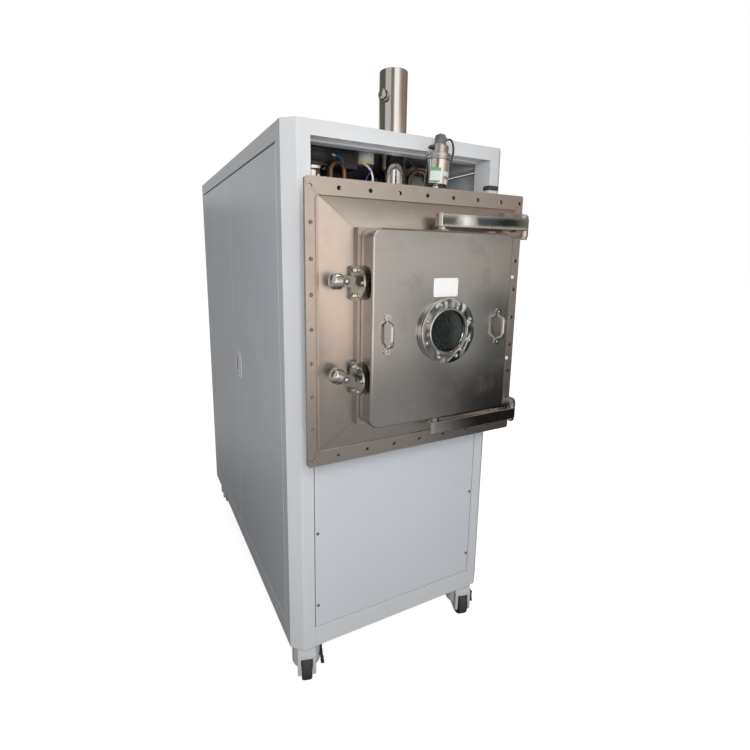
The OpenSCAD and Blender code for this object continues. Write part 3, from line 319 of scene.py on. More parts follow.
FINISHES = {name: kind(name, *values) for name, kind, *values in (
    ("cabinet_paint", powder_coat, (0.602, 0.61, 0.622)),
    ("panel_paint", powder_coat, (0.58, 0.60, 0.63), 0.30),
    ("dark_paint", moulded, (0.035, 0.04, 0.045), 0.4, 300),
    ("zinc_steel", zinc),
    ("stainless", brushed_steel, (0.60, 0.57, 0.54), 0.17, 0.25, 0.7, 0.5),
    ("door_steel", brushed_steel, (0.60, 0.59, 0.575), 0.13, 0.35, 0.6, 0.3),
    ("flange_steel", mitred_steel, (0.62, 0.585, 0.55), 0.28),
    ("bright_steel", polished_steel),
    ("arm_steel", polished_steel, (0.74, 0.73, 0.70), 0.015, 0.035),
    # cast grey steel for the latch blocks and cheeks, with its colour lowered further as painted shade
    ("cast_steel", polished_steel, (0.36, 0.375, 0.36), 0.22, 0.12),
    ("satin_steel", polished_steel, (0.62, 0.61, 0.60), 0.26, 0.1),
    ("turned_steel", wavy_mirror, (0.60, 0.61, 0.60), 0.03),
    ("insulation_skin", dull_foil),
    ("copper", old_copper),
    ("clear_glass", sight_glass),
    ("black_plastic", moulded, (0.018, 0.018, 0.02), 0.45),
    ("grey_plastic", moulded, (0.13, 0.135, 0.14), 0.45),
    ("caster_plastic", moulded, (0.50, 0.51, 0.51), 0.4, 700, 0.05),
    ("white_plastic", moulded, (0.80, 0.80, 0.78), 0.35, 600, 0.02),
    ("black_rubber", moulded, (0.022, 0.022, 0.024), 0.6, 700, 0.2),
    ("seal_rubber", moulded, (0.05, 0.055, 0.06), 0.55),
    ("pull_grey", moulded, (0.76, 0.76, 0.82), 0.4, 500, 0.02),
    ("grey_paint", powder_coat, (0.40, 0.42, 0.42), 0.5),
    ("green_vinyl", moulded, (0.10, 0.30, 0.16), 0.35, 500, 0.02),
    ("pale_vinyl", moulded, (0.58, 0.61, 0.59), 0.35, 500, 0.02),
    ("cream_plastic", moulded, (0.62, 0.60, 0.55), 0.4, 500, 0.04),
    ("yellow_plastic", moulded, (0.62, 0.52, 0.10), 0.4, 500, 0.02),
    ("blue_vinyl", moulded, (0.02, 0.16, 0.34), 0.35, 500, 0.02),
    ("violet_vinyl", moulded, (0.12, 0.06, 0.26), 0.35, 500, 0.02),
    ("white_vinyl", moulded, (0.80, 0.78, 0.76), 0.35, 500, 0.02),
)}
SLOT_OF = {row["node"]: row["material_slot"] for row in frame["record"]["subparts"]}
LOOKS = {**SLOT_OF, "wall_flange": "flange_steel", "hood": "flange_steel", "upper_arm": "arm_steel",
         "lower_arm": "arm_steel", "switch_cabinet": "grey_paint"}


def dress_frame():
    """Every CAD node takes the finish of its material slot, apart from the few with another look."""
    for name, obj in NODES.items():
        obj.data.materials.clear()
        obj.data.materials.append(FINISHES[LOOKS[name]])


# ---------- shapes ----------

FRONT_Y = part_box("front_posts")[0].y / MM  # the cabinet's front face
X, OUT, UP = Vector((1, 0, 0)), Vector((0, -1, 0)), Vector((0, 0, 1))
BODY_OF = {node: body for body, empty in frame["bodies"].items()
           for node, obj in NODES.items() if obj.parent is empty}


def at(x, out, z):
    """A point given in mm: right, out of the cabinet's front face, up."""
    return Vector((x, FRONT_Y - out, z)) * MM


def cos_sin(degrees):
    """The cosine and sine of an angle."""
    return math.cos(math.radians(degrees)), math.sin(math.radians(degrees))


def swung(a, b, degrees):
    """Two axes turned together, the first away from where the second points."""
    c, s = cos_sin(degrees)
    return a * c - b * s, b * c + a * s


def ring_of(bm, centre, side, over, radius, count):
    """Vertices of one circle, or one vertex where the radius is nothing."""
    if radius == 0:
        return [bm.verts.new(centre)]
    turns = [cos_sin(360 * i / count) for i in range(count)]
    return [bm.verts.new(centre + (side * c + over * s) * radius) for c, s in turns]


def join_rings(bm, rings, closed=False, caps=True):
    """Faces between rings that follow each other; a ring may be a single point."""
    pairs = list(zip(rings, rings[1:])) + ([(rings[-1], rings[0])] if closed else [])
    for low, high in pairs:
        count = max(len(low), len(high))
        for i in range(count):
            j = (i + 1) % count
            if len(low) == 1:
                bm.faces.new((low[0], high[j], high[i]))
            elif len(high) == 1:
                bm.faces.new((low[i], low[j], high[0]))
            else:
                bm.faces.new((low[i], low[j], high[j], high[i]))
    if caps and not closed:
        for ring, flip in ((rings[0], True), (rings[-1], False)):
            if len(ring) > 2:
                bm.faces.new(reversed(ring) if flip else ring)


def lathe(bm, profile, origin, axis, count, closed=False):
    """Turns (radius, height) points in mm about an axis."""
    axis = axis.normalized()
    side = axis.orthogonal().normalized()
    over = axis.cross(side)
    rings = [ring_of(bm, origin + axis * h * MM, side, over, r * MM, count) for r, h in profile]
    join_rings(bm, rings, closed)


def bevel(bm, edges, width, segments):
    """Rounds some edges by a width in mm."""
    bmesh.ops.bevel(bm, geom=edges, offset=width * MM, segments=segments, profile=0.5, affect="EDGES",
                    clamp_overlap=True)


def plate(bm, outline, origin, right, up, depth, edge=0.0, both=False):
    """An outline of (right, up) points in mm, thickened towards right x up, with a rounded front edge."""
    out = right.cross(up)
    back = [bm.verts.new(origin + (right * a + up * b) * MM) for a, b in outline]
    front = [bm.verts.new(v.co + out * depth * MM) for v in back]
    faces = [bm.faces.new(front), bm.faces.new(list(reversed(back)))]
    for i in range(len(back)):
        j = (i + 1) % len(back)
        bm.faces.new((back[i], back[j], front[j], front[i]))
    if edge:
        bevel(bm, [e for face in (faces if both else faces[:1]) for e in face.edges], edge, 3)


def oblong(w, h, r, steps=6, turn=0.0):
    """A rectangle with round corners, turned by some degrees."""
    points = []
    for cx, cy, start in ((1, 1, 0), (-1, 1, 90), (-1, -1, 180), (1, -1, 270)):
        for i in range(steps + 1):
            c, s = cos_sin(start + 90 * i / steps)
            points.append((cx * (w / 2 - r) + r * c, cy * (h / 2 - r) + r * s))
    c, s = cos_sin(turn)
    return [(a * c - b * s, a * s + b * c) for a, b in points]


def smooth_line(places, step=2.5):
    """Points in metres along a smooth curve through places that at() takes, about a step in mm apart."""
    points = [at(*place) / MM for place in places]
    ends = [2 * points[0] - points[1]] + points + [2 * points[-1] - points[-2]]
    line = []
    for a, b, c, d in zip(ends, ends[1:], ends[2:], ends[3:]):
        count = max(1, round((c - b).length / step))
        for i in range(count):
            t = i / count
            line.append(0.5 * (2 * b + (c - a) * t + (2 * a - 5 * b + 4 * c - d) * t * t
                               + (3 * b - a - 3 * c + d) * t ** 3))
    return [p * MM for p in line + [points[-1]]]


def tube(bm, line, radius, count, thick=None, face=None):
    """A round bar in mm along points in metres, or a strap whose half thickness changes."""
    rings, side = [], None
    for i, here in enumerate(line):
        ahead = (line[min(i + 1, len(line) - 1)] - line[max(i - 1, 0)]).normalized()
        if face is not None:
            side = face
        elif side is None:
            side = ahead.orthogonal()
        side = (side - ahead * side.dot(ahead)).normalized()
        over = ahead.cross(side)
        other = thick[i] if thick else radius
        ring = []
        for k in range(count):
            c, s = cos_sin(360 * k / count)
            if thick:
                c, s = (math.copysign(abs(v) ** 0.55, v) for v in (c, s))
            ring.append(bm.verts.new(here + (side * c * radius + over * s * other) * MM))
        rings.append(ring)
    join_rings(bm, rings)


def piece(bm, name, finish, body="cabinet", node=None, slot=None):
    """The finished mesh as a piece that rides on a body and may stand for a CAD node."""
    bmesh.ops.recalc_face_normals(bm, faces=bm.faces)
    mesh = bpy.data.meshes.new(name)
    bm.to_mesh(mesh)
    bm.free()
    mesh.polygons.foreach_set("use_smooth", [True] * len(mesh.polygons))
    mesh.set_sharp_from_angle(angle=math.radians(34))
    mesh.materials.append(FINISHES[finish])
    obj = bpy.data.objects.new(name, mesh)
    bpy.context.scene.collection.objects.link(obj)
    even = obj.modifiers.new("normals", "WEIGHTED_NORMAL")
    even.keep_sharp = True
    slot = slot or finish
    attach(obj, body)
    if node:
        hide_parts(node)
    return obj


def turned(name, finish, profile, origin, axis, count, closed=False, body="cabinet", node=None):
    """A piece that is one turned profile."""
    bm = bmesh.new()
    lathe(bm, profile, origin, axis, count, closed)
    piece(bm, name, finish, body, node)


# ---------- eased sheet metal and castings ----------

EASED = {
    "front_posts": 2.0, "cross_rails": 1.2, "side_rails": 1.5, "rear_posts": 1.5, "top_panel": 0.8,
    "left_front_panel": 1.2, "left_rear_panel": 1.2, "right_front_panel": 1.2, "right_rear_panel": 1.2,
    "lower_front_panel": 1.2, "rear_panel": 1.0, "panel_screws": 0.5, "post_strip": 1.2,
    "hinge_brackets": 2.5, "hinge_pins": 1.0, "upper_arm": 3.0, "lower_arm": 3.0, "door_lugs": 1.5,
    "door_shell": 0.0, "hood_plugs": 0.8, "jacket": 4.0, "chamber": 1.2, "shelves": 1.5, "shelf_rack": 1.2,
    "cold_plates": 1.0, "switch_cabinet": 2.5, "compressor": 3.0, "vacuum_pump": 4.0, "copper_pipes": 0.0,
    "front_left_wheel": 1.5, "front_right_wheel": 1.5, "rear_left_wheel": 1.5, "rear_right_wheel": 1.5,
    "caster_plates": 0.8, "wall_flange": 1.5, "hood": 1.2,
}


def ease_frame():
    """CAD nodes again, with their sharp edges rounded by some mm and their curves shaded smooth."""
    for node, edge in EASED.items():
        bm = bmesh.new()
        bm.from_mesh(NODES[node].data)
        bmesh.ops.remove_doubles(bm, verts=bm.verts, dist=0.00001)
        bmesh.ops.dissolve_limit(bm, angle_limit=math.radians(0.5), verts=bm.verts, edges=bm.edges)
        if edge:
            sharp = [e for e in bm.edges
                     if len(e.link_faces) == 2 and e.calc_face_angle() > math.radians(32)]
            bevel(bm, sharp, edge, 2)
        piece(bm, node + "_eased", LOOKS[node], BODY_OF[node], node, SLOT_OF[node])


# ---------- latches ----------

CHAMBER_Z, FACE_Z = 1320, 1312  # the chamber's middle and the door's
FLANGE_FRONT = 109  # the wall flange's front face
LATCH_X, LATCH_Z = -308, 140  # the pins, aside from and over or under the chamber's middle
LATCH_BACK, LATCH_THICK = 150.4, 31  # the blocks
LOW_TURN = 25  # the lower block stands a little open
CHEEK_X, CHEEK_DROP, CHEEK_W, CHEEK_H, CHEEK_BOLT = -273, 6, 17, 98, 36
GUARD_X, GUARD_OUT, GUARD_R, GUARD_BACK, GUARD_BOLTS = CHEEK_X + 8.3, 161, 49, 25, 38
KNOB = [(0, 36), (6, 35.6), (12, 34.2), (17, 31.8), (20.5, 28.6), (22.4, 24.8), (23, 20.5), (23, 4.5),
        (22.4, 2.2), (21, 0.8), (15, 0), (15, -3), (0, -3)]
WASHER = [(9.5, 0), (9.5, 0.7), (9.2, 0.9), (7.4, 0.9), (7.1, 0)]
PIN_CAP = [(5, 0), (5, 72.6), (6.6, 72.6), (7, 73.2), (6.9, 74.2), (6.2, 75.2), (4.6, 75.9), (2.2, 76.3),
           (0, 76.4)]
GUARD_SCREW = [(5.6, 0), (5.6, 1.2), (5.2, 2.9), (4.2, 4.3), (2.6, 5.3), (0, 5.7)]
SOCKET_SCREW = [(5.2, 0), (5.2, 1.9), (4.8, 2.4), (3.1, 2.4), (2.7, 1.4), (0, 1.4)]
# painted shade: a thin dark ring round each socket screw for the shade of its recess
RECESS_SHADE_RING = [(6.9, 0), (6.9, 0.55), (5.3, 0.55), (5.3, 0)]


def make_latch(name, side, turn, body, node):
    """Turned knob on a rounded block, about the latch's own pin."""
    right, up = swung(X, UP, turn)
    pin = at(LATCH_X, LATCH_BACK, CHAMBER_Z + side * LATCH_Z)
    bm = bmesh.new()
    plate(bm, oblong(37, 31, 4.5), pin + right * 7.5 * MM, right, up, LATCH_THICK, 1.8, True)
    piece(bm, name + "_block", "cast_steel", body, node)
    knob_root = pin - right * 11 * MM + OUT * 15 * MM
    turned(name + "_knob", "bright_steel", KNOB, knob_root, -right, 72, body=body)
    turned(name + "_washer", "seal_rubber", WASHER, pin + OUT * LATCH_THICK * MM, OUT, 40, True, body)


def make_latch_bases():
    """Cheek plate, boss, pin with its polished cap and two socket screws for each latch.

    A round guard with three screws stands forward from each cheek, beside the door's edge.
    """
    bases, cheeks, guards, screws, recess_shades = (bmesh.new() for _ in range(5))
    rim = [(GUARD_R * s, -GUARD_R * c) for c, s in map(cos_sin, range(0, 181, 5))]
    guard = [(-GUARD_BACK, -GUARD_R), *rim, (-GUARD_BACK, GUARD_R)]
    cheek = oblong(CHEEK_W, CHEEK_H, CHEEK_W / 2 - 0.1, 12)
    for side in (1, -1):
        z = CHAMBER_Z + side * LATCH_Z
        cheek_z = z - CHEEK_DROP
        pin = at(LATCH_X, FLANGE_FRONT, z)
        plate(cheeks, cheek, at(CHEEK_X, FLANGE_FRONT, cheek_z), X, UP, 41, 1.6)
        plate(bases, oblong(34, 15, 1), pin + X * 18 * MM, X, UP, 39)
        lathe(bases, [(8.5, 0), (8.5, 40.6), (8.1, 41)], pin, OUT, 40)
        lathe(bases, PIN_CAP, pin, OUT, 40)
        hub = at(GUARD_X, GUARD_OUT, cheek_z)
        plate(guards, guard, hub, OUT, UP, 5, 1.4)
        for c, s in map(cos_sin, (-68, 3, 70)):
            spot = hub + (OUT * c + UP * s) * GUARD_BOLTS * MM - X * 4.6 * MM
            lathe(guards, GUARD_SCREW, spot, -X, 32)
        for end in (1, -1):
            spot = at(CHEEK_X, 149.6, cheek_z + end * CHEEK_BOLT)
            lathe(screws, SOCKET_SCREW, spot, OUT, 32)
            # painted shade round the screw head, in dark rubber
            lathe(recess_shades, RECESS_SHADE_RING, spot, OUT, 32, closed=True)
    piece(cheeks, "latch_cheeks", "cast_steel")
    piece(guards, "latch_guards", "bright_steel")
    piece(bases, "latch_base_pieces", "bright_steel", node="latch_bases")
    piece(screws, "latch_screws", "bright_steel", node="latch_bolts")
    piece(recess_shades, "latch_screw_recess_shades", "seal_rubber")


# ---------- door hardware ----------

DOOR_FRONT = 228
HANDLE_X, HANDLE_TAB = 205, 48.5  # the handles, and their tabs' middles over and under their own
SIGHT_R, SIGHT_BOLTS, SIGHT_FRONT = 98, 84.5, 17
LABEL_X, LABEL_Z = -6, SIGHT_R + 31.5  # about the sight glass's middle
HALF_STRAP = [(HANDLE_TAB, 2.6), (42, 2.7), (38, 4.5), (34.8, 11), (31.4, 20.4), (27.5, 26.6), (20, 28.3),
              (10, 28.6), (0, 28.6)]
BASE_RING = [(63, -14), (79.9, -14), (79.9, 0), (SIGHT_R, 0), (SIGHT_R, 6.6), (97.3, 7.3), (75.5, 7.3),
             (75.5, -6), (63, -6)]
COVER_RING = [(68.6, 8.1), (96.9, 8.1), (97.9, 8.6), (SIGHT_R, 9.4), (SIGHT_R, 15.2), (97.3, 16.5),
              (95.8, SIGHT_FRONT), (70.6, SIGHT_FRONT), (69.8, 16.3), (69.0, 15.9), (66.2, 16.9),
              (64.4, 16.7), (63.2, 15.2), (63, 13.4), (63, 8.1)]
GASKET = [(76, 7.3), (96.2, 7.3), (96.2, 8.1), (76, 8.1)]
DOME_NUT = [(6.4, 0), (6.4, 0.7), (6.0, 1.0), (5.0, 1.0), (5.0, 2.2), (4.6, 3.3), (3.5, 4.3), (1.9, 4.9),
            (0, 5.1)]
PAN_HEAD = [(4.2, -0.5), (4.2, 0.8), (3.6, 1.6), (2.2, 2.1), (1.8, 2.1), (1.6, 1.1), (0, 1.1)]


def make_handles():
    """Bent straps that flatten out into round tabs."""
    bm = bmesh.new()
    strap = HALF_STRAP + [(-z, out) for z, out in HALF_STRAP[-2::-1]]
    for x in (-HANDLE_X, HANDLE_X):
        line = smooth_line([(x, DOOR_FRONT + out, FACE_Z + z) for z, out in strap])
        lifts = [FRONT_Y - p.y / MM - DOOR_FRONT for p in line]
        thick = [2.4 + 2.0 * min(1.0, max(0.0, (lift - 2.6) / 14)) for lift in lifts]
        tube(bm, line, 5.0, 24, thick, X)
        for end in (1, -1):
            plate(bm, oblong(20, 20, 9.9, 10), at(x, DOOR_FRONT, FACE_Z + end * HANDLE_TAB), X, UP, 5, 1.2)
    piece(bm, "handle_straps", "bright_steel", "door", "door_handles")


def make_sight_frame():
    """Welded ring, gasket line and the bolted cover ring with its polished lip."""
    front = at(0, DOOR_FRONT, FACE_Z)
    turned("sight_base_ring", "turned_steel", BASE_RING, front, OUT, 128, True, "door", "sight_base")
    turned("sight_cover_ring", "turned_steel", COVER_RING, front, OUT, 128, True, "door", "sight_ring")
    turned("sight_gasket", "seal_rubber", GASKET, front, OUT, 96, True, "door")


def make_door_screws():
    """Dome nuts round the sight glass and pan heads on the handle tabs."""
    bm = bmesh.new()
    for i in range(8):
        c, s = cos_sin(22.5 + 45 * i)
        spot = at(SIGHT_BOLTS * s, DOOR_FRONT + SIGHT_FRONT, FACE_Z + SIGHT_BOLTS * c)
        lathe(bm, DOME_NUT, spot, OUT, 32)
    for x in (-HANDLE_X, HANDLE_X):
        for end in (1, -1):
            lathe(bm, PAN_HEAD, at(x, DOOR_FRONT + 5, FACE_Z + end * HANDLE_TAB), OUT, 32)
    piece(bm, "door_screw_heads", "bright_steel", "door", "door_screws")


def make_label():
    """Blank plate with a rounded edge and four small rivets."""
    bm, rivets = bmesh.new(), bmesh.new()
    middle = at(LABEL_X, DOOR_FRONT, FACE_Z + LABEL_Z)
    plate(bm, oblong(88.6, 54.6, 4), middle, X, UP, 1.0, 0.4)
    piece(bm, "blank_plate", "white_plastic", "door", "label_plate")
    for x in (-40, 40):
        for z in (-23, 23):
            spot = middle + (X * x + UP * z + OUT * 0.9) * MM
            lathe(rivets, [(1.5, 0), (1.4, 0.4), (0.8, 0.7), (0, 0.8)], spot, OUT, 16)
    piece(rivets, "blank_plate_rivets", "bright_steel", "door")


# ---------- vacuum gauge and its plug ----------

SERVICE_FLOOR = 1688  # of the gap over the flange
GAUGE_FOOT = (60, 55, SERVICE_FLOOR)
GAUGE_TILT = 5  # degrees to the right
GAUGE_R, HEAD_Z, PLUG_Z = 38, 146, 193.6
GAUGE_X, GAUGE_AXIS = swung(X, UP, GAUGE_TILT)
GAUGE_BODY = [(16, 0), (16, 5), (12, 8), (12, 42), (20, 43), (20, 46), (23.4, 47), (24, 48.5), (24, 54),
              (23, 56.5), (18, 57.5), (13, 59), (13, 67), (33, 69), (37, 70), (GAUGE_R, 71.6),
              (GAUGE_R, 145.4), (0, 145.4)]
GAUGE_HEAD = [(0, HEAD_Z), (GAUGE_R, HEAD_Z), (40, 146.6), (40.5, 148), (40.5, 151.8), (39.6, 153.2),
              (39.6, 158.6), (40.5, 160), (40.5, 164), (39.8, 165.6), (36, 166), (30.2, 166.2), (29.5, 167.4),
              (29.5, 189.6), (28.6, 191), (25.8, 193.8), (0, 194)]
PLUG_FOOT = [(0, PLUG_Z), (17.5, PLUG_Z), (18, 194.4), (18, 199), (17, 200), (17, 201.4), (18, 202.4),
             (18, 207), (17, 208.6), (0, 209)]
PLUG_BODY = [(-14, 0), (-13, 2), (-13, 15), (-10, 18.5), (8, 18.5), (12, 15), (12, 0)]
PLUG_OUTLET = [(9, 0), (9, 5), (8, 6), (8, 9), (7, 10), (6, 14), (4.2, 17), (0, 17)]


def on_gauge(x, out, h):
    """A point on the tilted gauge, in mm from its foot."""
    return at(*GAUGE_FOOT) + (GAUGE_X * x + OUT * out + GAUGE_AXIS * h) * MM


def sticker(bm, low, high, start, end, lift=0.35, count=24):
    """A thin blank label on the gauge's body; angles from +X towards the front, in degrees."""
    inner, outer = [], []
    turns = [cos_sin(start + (end - start) * i / count) for i in range(count + 1)]
    for h in (low, high):
        for shell, r in ((inner, GAUGE_R), (outer, GAUGE_R + lift)):
            shell.append([bm.verts.new(on_gauge(r * c, r * s, h)) for c, s in turns])
    for i in range(count):
        for a, b in (inner, outer, (inner[0], outer[0]), (inner[1], outer[1])):
            bm.faces.new((a[i], a[i + 1], b[i + 1], b[i]))
    for i in (0, count):
        bm.faces.new((inner[0][i], inner[1][i], outer[1][i], outer[0][i]))


def make_gauge():
    """Turned gauge body: flange and clamp at its foot, body, clamp ring and a narrower head."""
    foot = at(*GAUGE_FOOT)
    turned("gauge_body", "bright_steel", GAUGE_BODY, foot, GAUGE_AXIS, 96, node="vacuum_gauge")
    turned("gauge_head", "satin_steel", GAUGE_HEAD, foot, GAUGE_AXIS, 96)
    bm = bmesh.new()
    plate(bm, oblong(15, 9, 1.5), on_gauge(-41, 5, 181), -OUT, GAUGE_AXIS, 11, 0.8)
    piece(bm, "gauge_tab", "black_plastic")
    for name, finish, fields in (
            ("gauge_sticker_edge", "green_vinyl", [(108, 118, 106, 156), (74, 79, 106, 156)]),
            ("gauge_sticker_field", "pale_vinyl",
             [(79, 108, 106, 156), (96, 110, 42, 96), (72, 86, 62, 84)])):
        bm = bmesh.new()
        for field in fields:
            sticker(bm, *field)
        piece(bm, name, finish)


def make_plug():
    """Moulded right-angle plug on the gauge's head: screwed foot, ribbed body and a side outlet."""
    bm = bmesh.new()
    lathe(bm, PLUG_FOOT, on_gauge(1, 0, 0), GAUGE_AXIS, 48)
    plate(bm, PLUG_BODY, on_gauge(0, -12, 208.4), GAUGE_X, GAUGE_AXIS, 24, 2.0, True)
    lathe(bm, PLUG_OUTLET, on_gauge(10, 0, 216), GAUGE_X, 32)
    for x in (-8, -2, 4):
        plate(bm, oblong(2.2, 15, 1.0), on_gauge(x, 11.6, 217), GAUGE_X, GAUGE_AXIS, 1.2, 0.4)
    piece(bm, "gauge_plug", "grey_plastic", node="gauge_lead")


# ---------- stack ----------

STACK = (62, -220)
STACK_R, STACK_BORE = 50.8, 48.8
PORT_Z, PORT_TURN = 2091, 205  # degrees from +X towards the back
STACK_TUBE = [(0, 0), (STACK_R, 0), (STACK_R, 488.6), (50.9, 490.4), (50.3, 491.7), (49.6, 492),
              (48.9, 491.6), (STACK_BORE, 490), (STACK_BORE, 20), (0, 20)]
PORT_FERRULE = [(16, 47), (16, 50.5), (13, 52), (13, 58), (16.5, 60), (16.5, 63), (0, 63)]
PORT_CAP = [(13, 66.4), (16.5, 66.4), (16.5, 69.2), (14, 71), (9, 72.4), (0, 72.6)]
PORT_CLAMP = [(0, 62.6), (18, 62.6), (19, 63.4), (19, 66), (18, 66.8), (0, 66.8)]


def make_stack():
    """Exhaust tube with its rolled rim and side port."""
    foot = at(*STACK, SERVICE_FLOOR)
    turned("stack_tube", "bright_steel", STACK_TUBE, foot, UP, 128, node="stack_pipe")
    port = at(*STACK, PORT_Z)
    away = swung(X, OUT, PORT_TURN)[0]
    bm = bmesh.new()
    for profile in (PORT_FERRULE, PORT_CAP):
        lathe(bm, profile, port, away, 48)
    piece(bm, "port_ferrules", "bright_steel")
    turned("port_clamp", "black_plastic", PORT_CLAMP, port, away, 48)


# ---------- casters ----------

CASTER_X, CASTER_FRONT, CASTER_REAR = 354, -66, -1469
CASTER_TURN = 17  # how far the casters stand turned aside, in degrees
AXLE_Z, TRAIL = 60, 16  # the axle's height and its way behind the king pin
PEDAL_X, PEDAL_Z = 56, 84
AHEAD, ASIDE = swung(OUT, X, CASTER_TURN)
CHEEK = [(60, 40), (60.5, 60), (60.5, 114), (59, 119), (55, 124), (45, 135), (42, 136.5), (-10, 136.5),
         (-10, 62), (0, 46), (8, 40), (16, 38)]
BROW = [(60.5, 106), (60.5, 114), (59, 119), (55, 124), (45, 135), (42, 136.5), (0, 136.5), (0, 126),
        (38, 126), (48, 120), (54, 112), (55, 106)]
HOOD_WALL = [(46, 60), (50, 60), (51, 61.5), (51, 138), (46, 138)]
HOOD_TOP = [(16, 126), (50.8, 126), (51, 137.6), (49.6, 140.6), (40, 149.6), (38, 150.6), (8.2, 150.6),
            (8.2, 132.6), (16, 132.6)]
AXLE_CAP = [(6, 20), (6, 32), (10.5, 32), (10.5, 34.4), (9.6, 35.4), (4, 36), (0, 36)]
PEDAL_LUG = [(-10, -7), (-2, -8), (3, -5.5), (5, 0), (3, 5.5), (-2, 8), (-10, 7)]
PEDAL = [(51.8, PEDAL_Z), (53, 87), (56.5, 87.5), (59.6, PEDAL_Z), (61, 76), (61, 58), (61.4, 44), (65.5, 39),
         (66.4, 36.5), (65, 35), (56, 35), (53.6, 38), (52.4, 46)]


def arc_wall(bm, section, origin, axis, first, start, end, count=40):
    """A closed (radius, height) section swept part of the way round; angles from `first`, in degrees."""
    side = axis.cross(first)
    rings = []
    for i in range(count + 1):
        c, s = cos_sin(start + (end - start) * i / count)
        along = first * c + side * s
        rings.append([bm.verts.new(origin + (along * r + axis * h) * MM) for r, h in section])
    join_rings(bm, rings)


def make_caster(corner, x, out, braked):
    """Moulded hood with its brow and cheeks, the axle's caps and, in front, the brake pedal."""
    foot = at(x, out, 0)
    axle = foot - AHEAD * TRAIL * MM
    fork, pedal = corner + "_fork", corner + "_pedal"
    bm = bmesh.new()
    for inner in (33, -21):
        plate(bm, CHEEK, foot + ASIDE * inner * MM, AHEAD, UP, 12, 1.6, True)
    plate(bm, BROW, foot + ASIDE * 22 * MM, AHEAD, UP, 44)
    arc_wall(bm, HOOD_WALL, foot, UP, AHEAD, 36, 324)
    lathe(bm, HOOD_TOP, foot, UP, 72, closed=True)
    for side in (ASIDE, -ASIDE):
        hub = axle + UP * AXLE_Z * MM
        lathe(bm, AXLE_CAP, hub, side, 32)
        lathe(bm, [(6, 20), (6, 30), (0, 30)], hub, side, 24)
    piece(bm, corner + "_hood", "caster_plastic", BODY_OF[fork], fork)
    if not braked:
        return
    lugs, bm = bmesh.new(), bmesh.new()
    pin = foot + (ASIDE * PEDAL_X + UP * PEDAL_Z) * MM
    for inner in (-20.4, 16.4):
        plate(lugs, PEDAL_LUG, pin + AHEAD * inner * MM, ASIDE, UP, 4, 0.8, True)
    lathe(lugs, [(3, -22), (3, 22)], pin, AHEAD, 24)
    piece(lugs, corner + "_pedal_lugs", "black_plastic", BODY_OF[fork])
    plate(bm, PEDAL, axle, ASIDE, UP, 32, 1.5, True)
    piece(bm, corner + "_pedal_plate", "black_plastic", BODY_OF[pedal], pedal)


def make_casters():
    """Four casters, the front two with a brake."""
    for end, out in (("front", CASTER_FRONT), ("rear", CASTER_REAR)):
        for hand, x in (("left", -CASTER_X), ("right", CASTER_X)):
            make_caster(end + "_" + hand, x, out, end == "front")


# ---------- flush pulls ----------

SIDE_FACE = 422
PULL_BACK, PULL_Z = 750.5, 1048  # the grip slots, behind the cabinet's front face
PULL_SHIFT = 37  # the rims' middles, nearer the front than their slots
PULL_SCREW = [(4.2, 0.4), (4.2, 1.5), (3.6, 1.9), (1.6, 1.9), (1.2, 1.1), (0, 1.1)]


def make_pulls():
    """Moulded cups in the side panels' pockets: a broad rim, a grip slot painted black as its shade, and two
    black screws.
    """
    rims, slot_shade_and_screws = bmesh.new(), bmesh.new()
    disc, hole = oblong(95, 120, 28), oblong(14.6, 70, 4)
    for side in (-1, 1):
        right, out = -OUT * side, X * side
        ahead = -PULL_SHIFT * side
        slot = at(side * SIDE_FACE, -PULL_BACK, PULL_Z)

        def ring(bm, outline, lift, shift=0.0, scale=1.0):
            """An outline's vertices, scaled, moved and lifted off the panel."""
            return [bm.verts.new(slot + (right * (y * scale + shift) + UP * z * scale + out * lift) * MM)
                    for y, z in outline]

        join_rings(rims, [
            ring(rims, disc, 0, ahead), ring(rims, disc, 1.6, ahead, 0.96),
            ring(rims, disc, 0.9, ahead * 0.8, 0.80), ring(rims, hole, 0.6, 0, 1.3),
            ring(rims, hole, 0.3), ring(rims, hole, -0.1)], closed=True)
        # painted shade: the grip slot's walls and back are black plastic for the shadow inside the pocket;
        # the screws are black in the same piece
        join_rings(slot_shade_and_screws, [ring(slot_shade_and_screws, hole, 0), ring(slot_shade_and_screws, hole, -9)], caps=False)
        plate(slot_shade_and_screws, hole, slot - out * 9 * MM, right, UP, 0.8)
        for end in (48, -48):
            lathe(slot_shade_and_screws, PULL_SCREW, slot + UP * end * MM, out, 24)
    piece(rims, "pull_rims", "pull_grey")
    piece(slot_shade_and_screws, "pull_slot_shade_and_screws", "black_plastic")


# ---------- what shows through the open front ----------

VALVE = (-262, -205)
BOX_LEFT, BOX_RIGHT, BOX_FRONT, BOX_DEEP, BOX_Z = -204, -96, -190, 110, 1872.7
CAN = (-50, -215, 0)
ACTUATOR = [(67, 160), (68, 161), (68, 176), (66.6, 177.4), (66.6, 179), (68, 180.4), (68, 212.6), (67, 214),
            (0, 214)]
ACTUATOR_FOOT = [(0, 136), (56, 136), (57, 137), (57, 147), (55, 148.5), (60, 150), (67, 160.2), (0, 160.2)]
VALVE_NECK = [(0, 0), (44, 0), (44, 6), (33, 8), (32, 12), (32, 88), (54, 89), (55, 90), (55, 101), (54, 102),
              (33, 103), (32, 105), (32, 124), (50, 125), (51, 126), (51, 135.8), (0, 136)]
CAN_BODY = [(0, 1853.5), (26, 1853.5), (29, 1855), (30, 1858), (30, 1913), (29, 1914.8), (0, 1915)]
CAN_BAND = [(30, 1857), (30.8, 1857.4), (30.8, 1861.6), (30, 1862)]


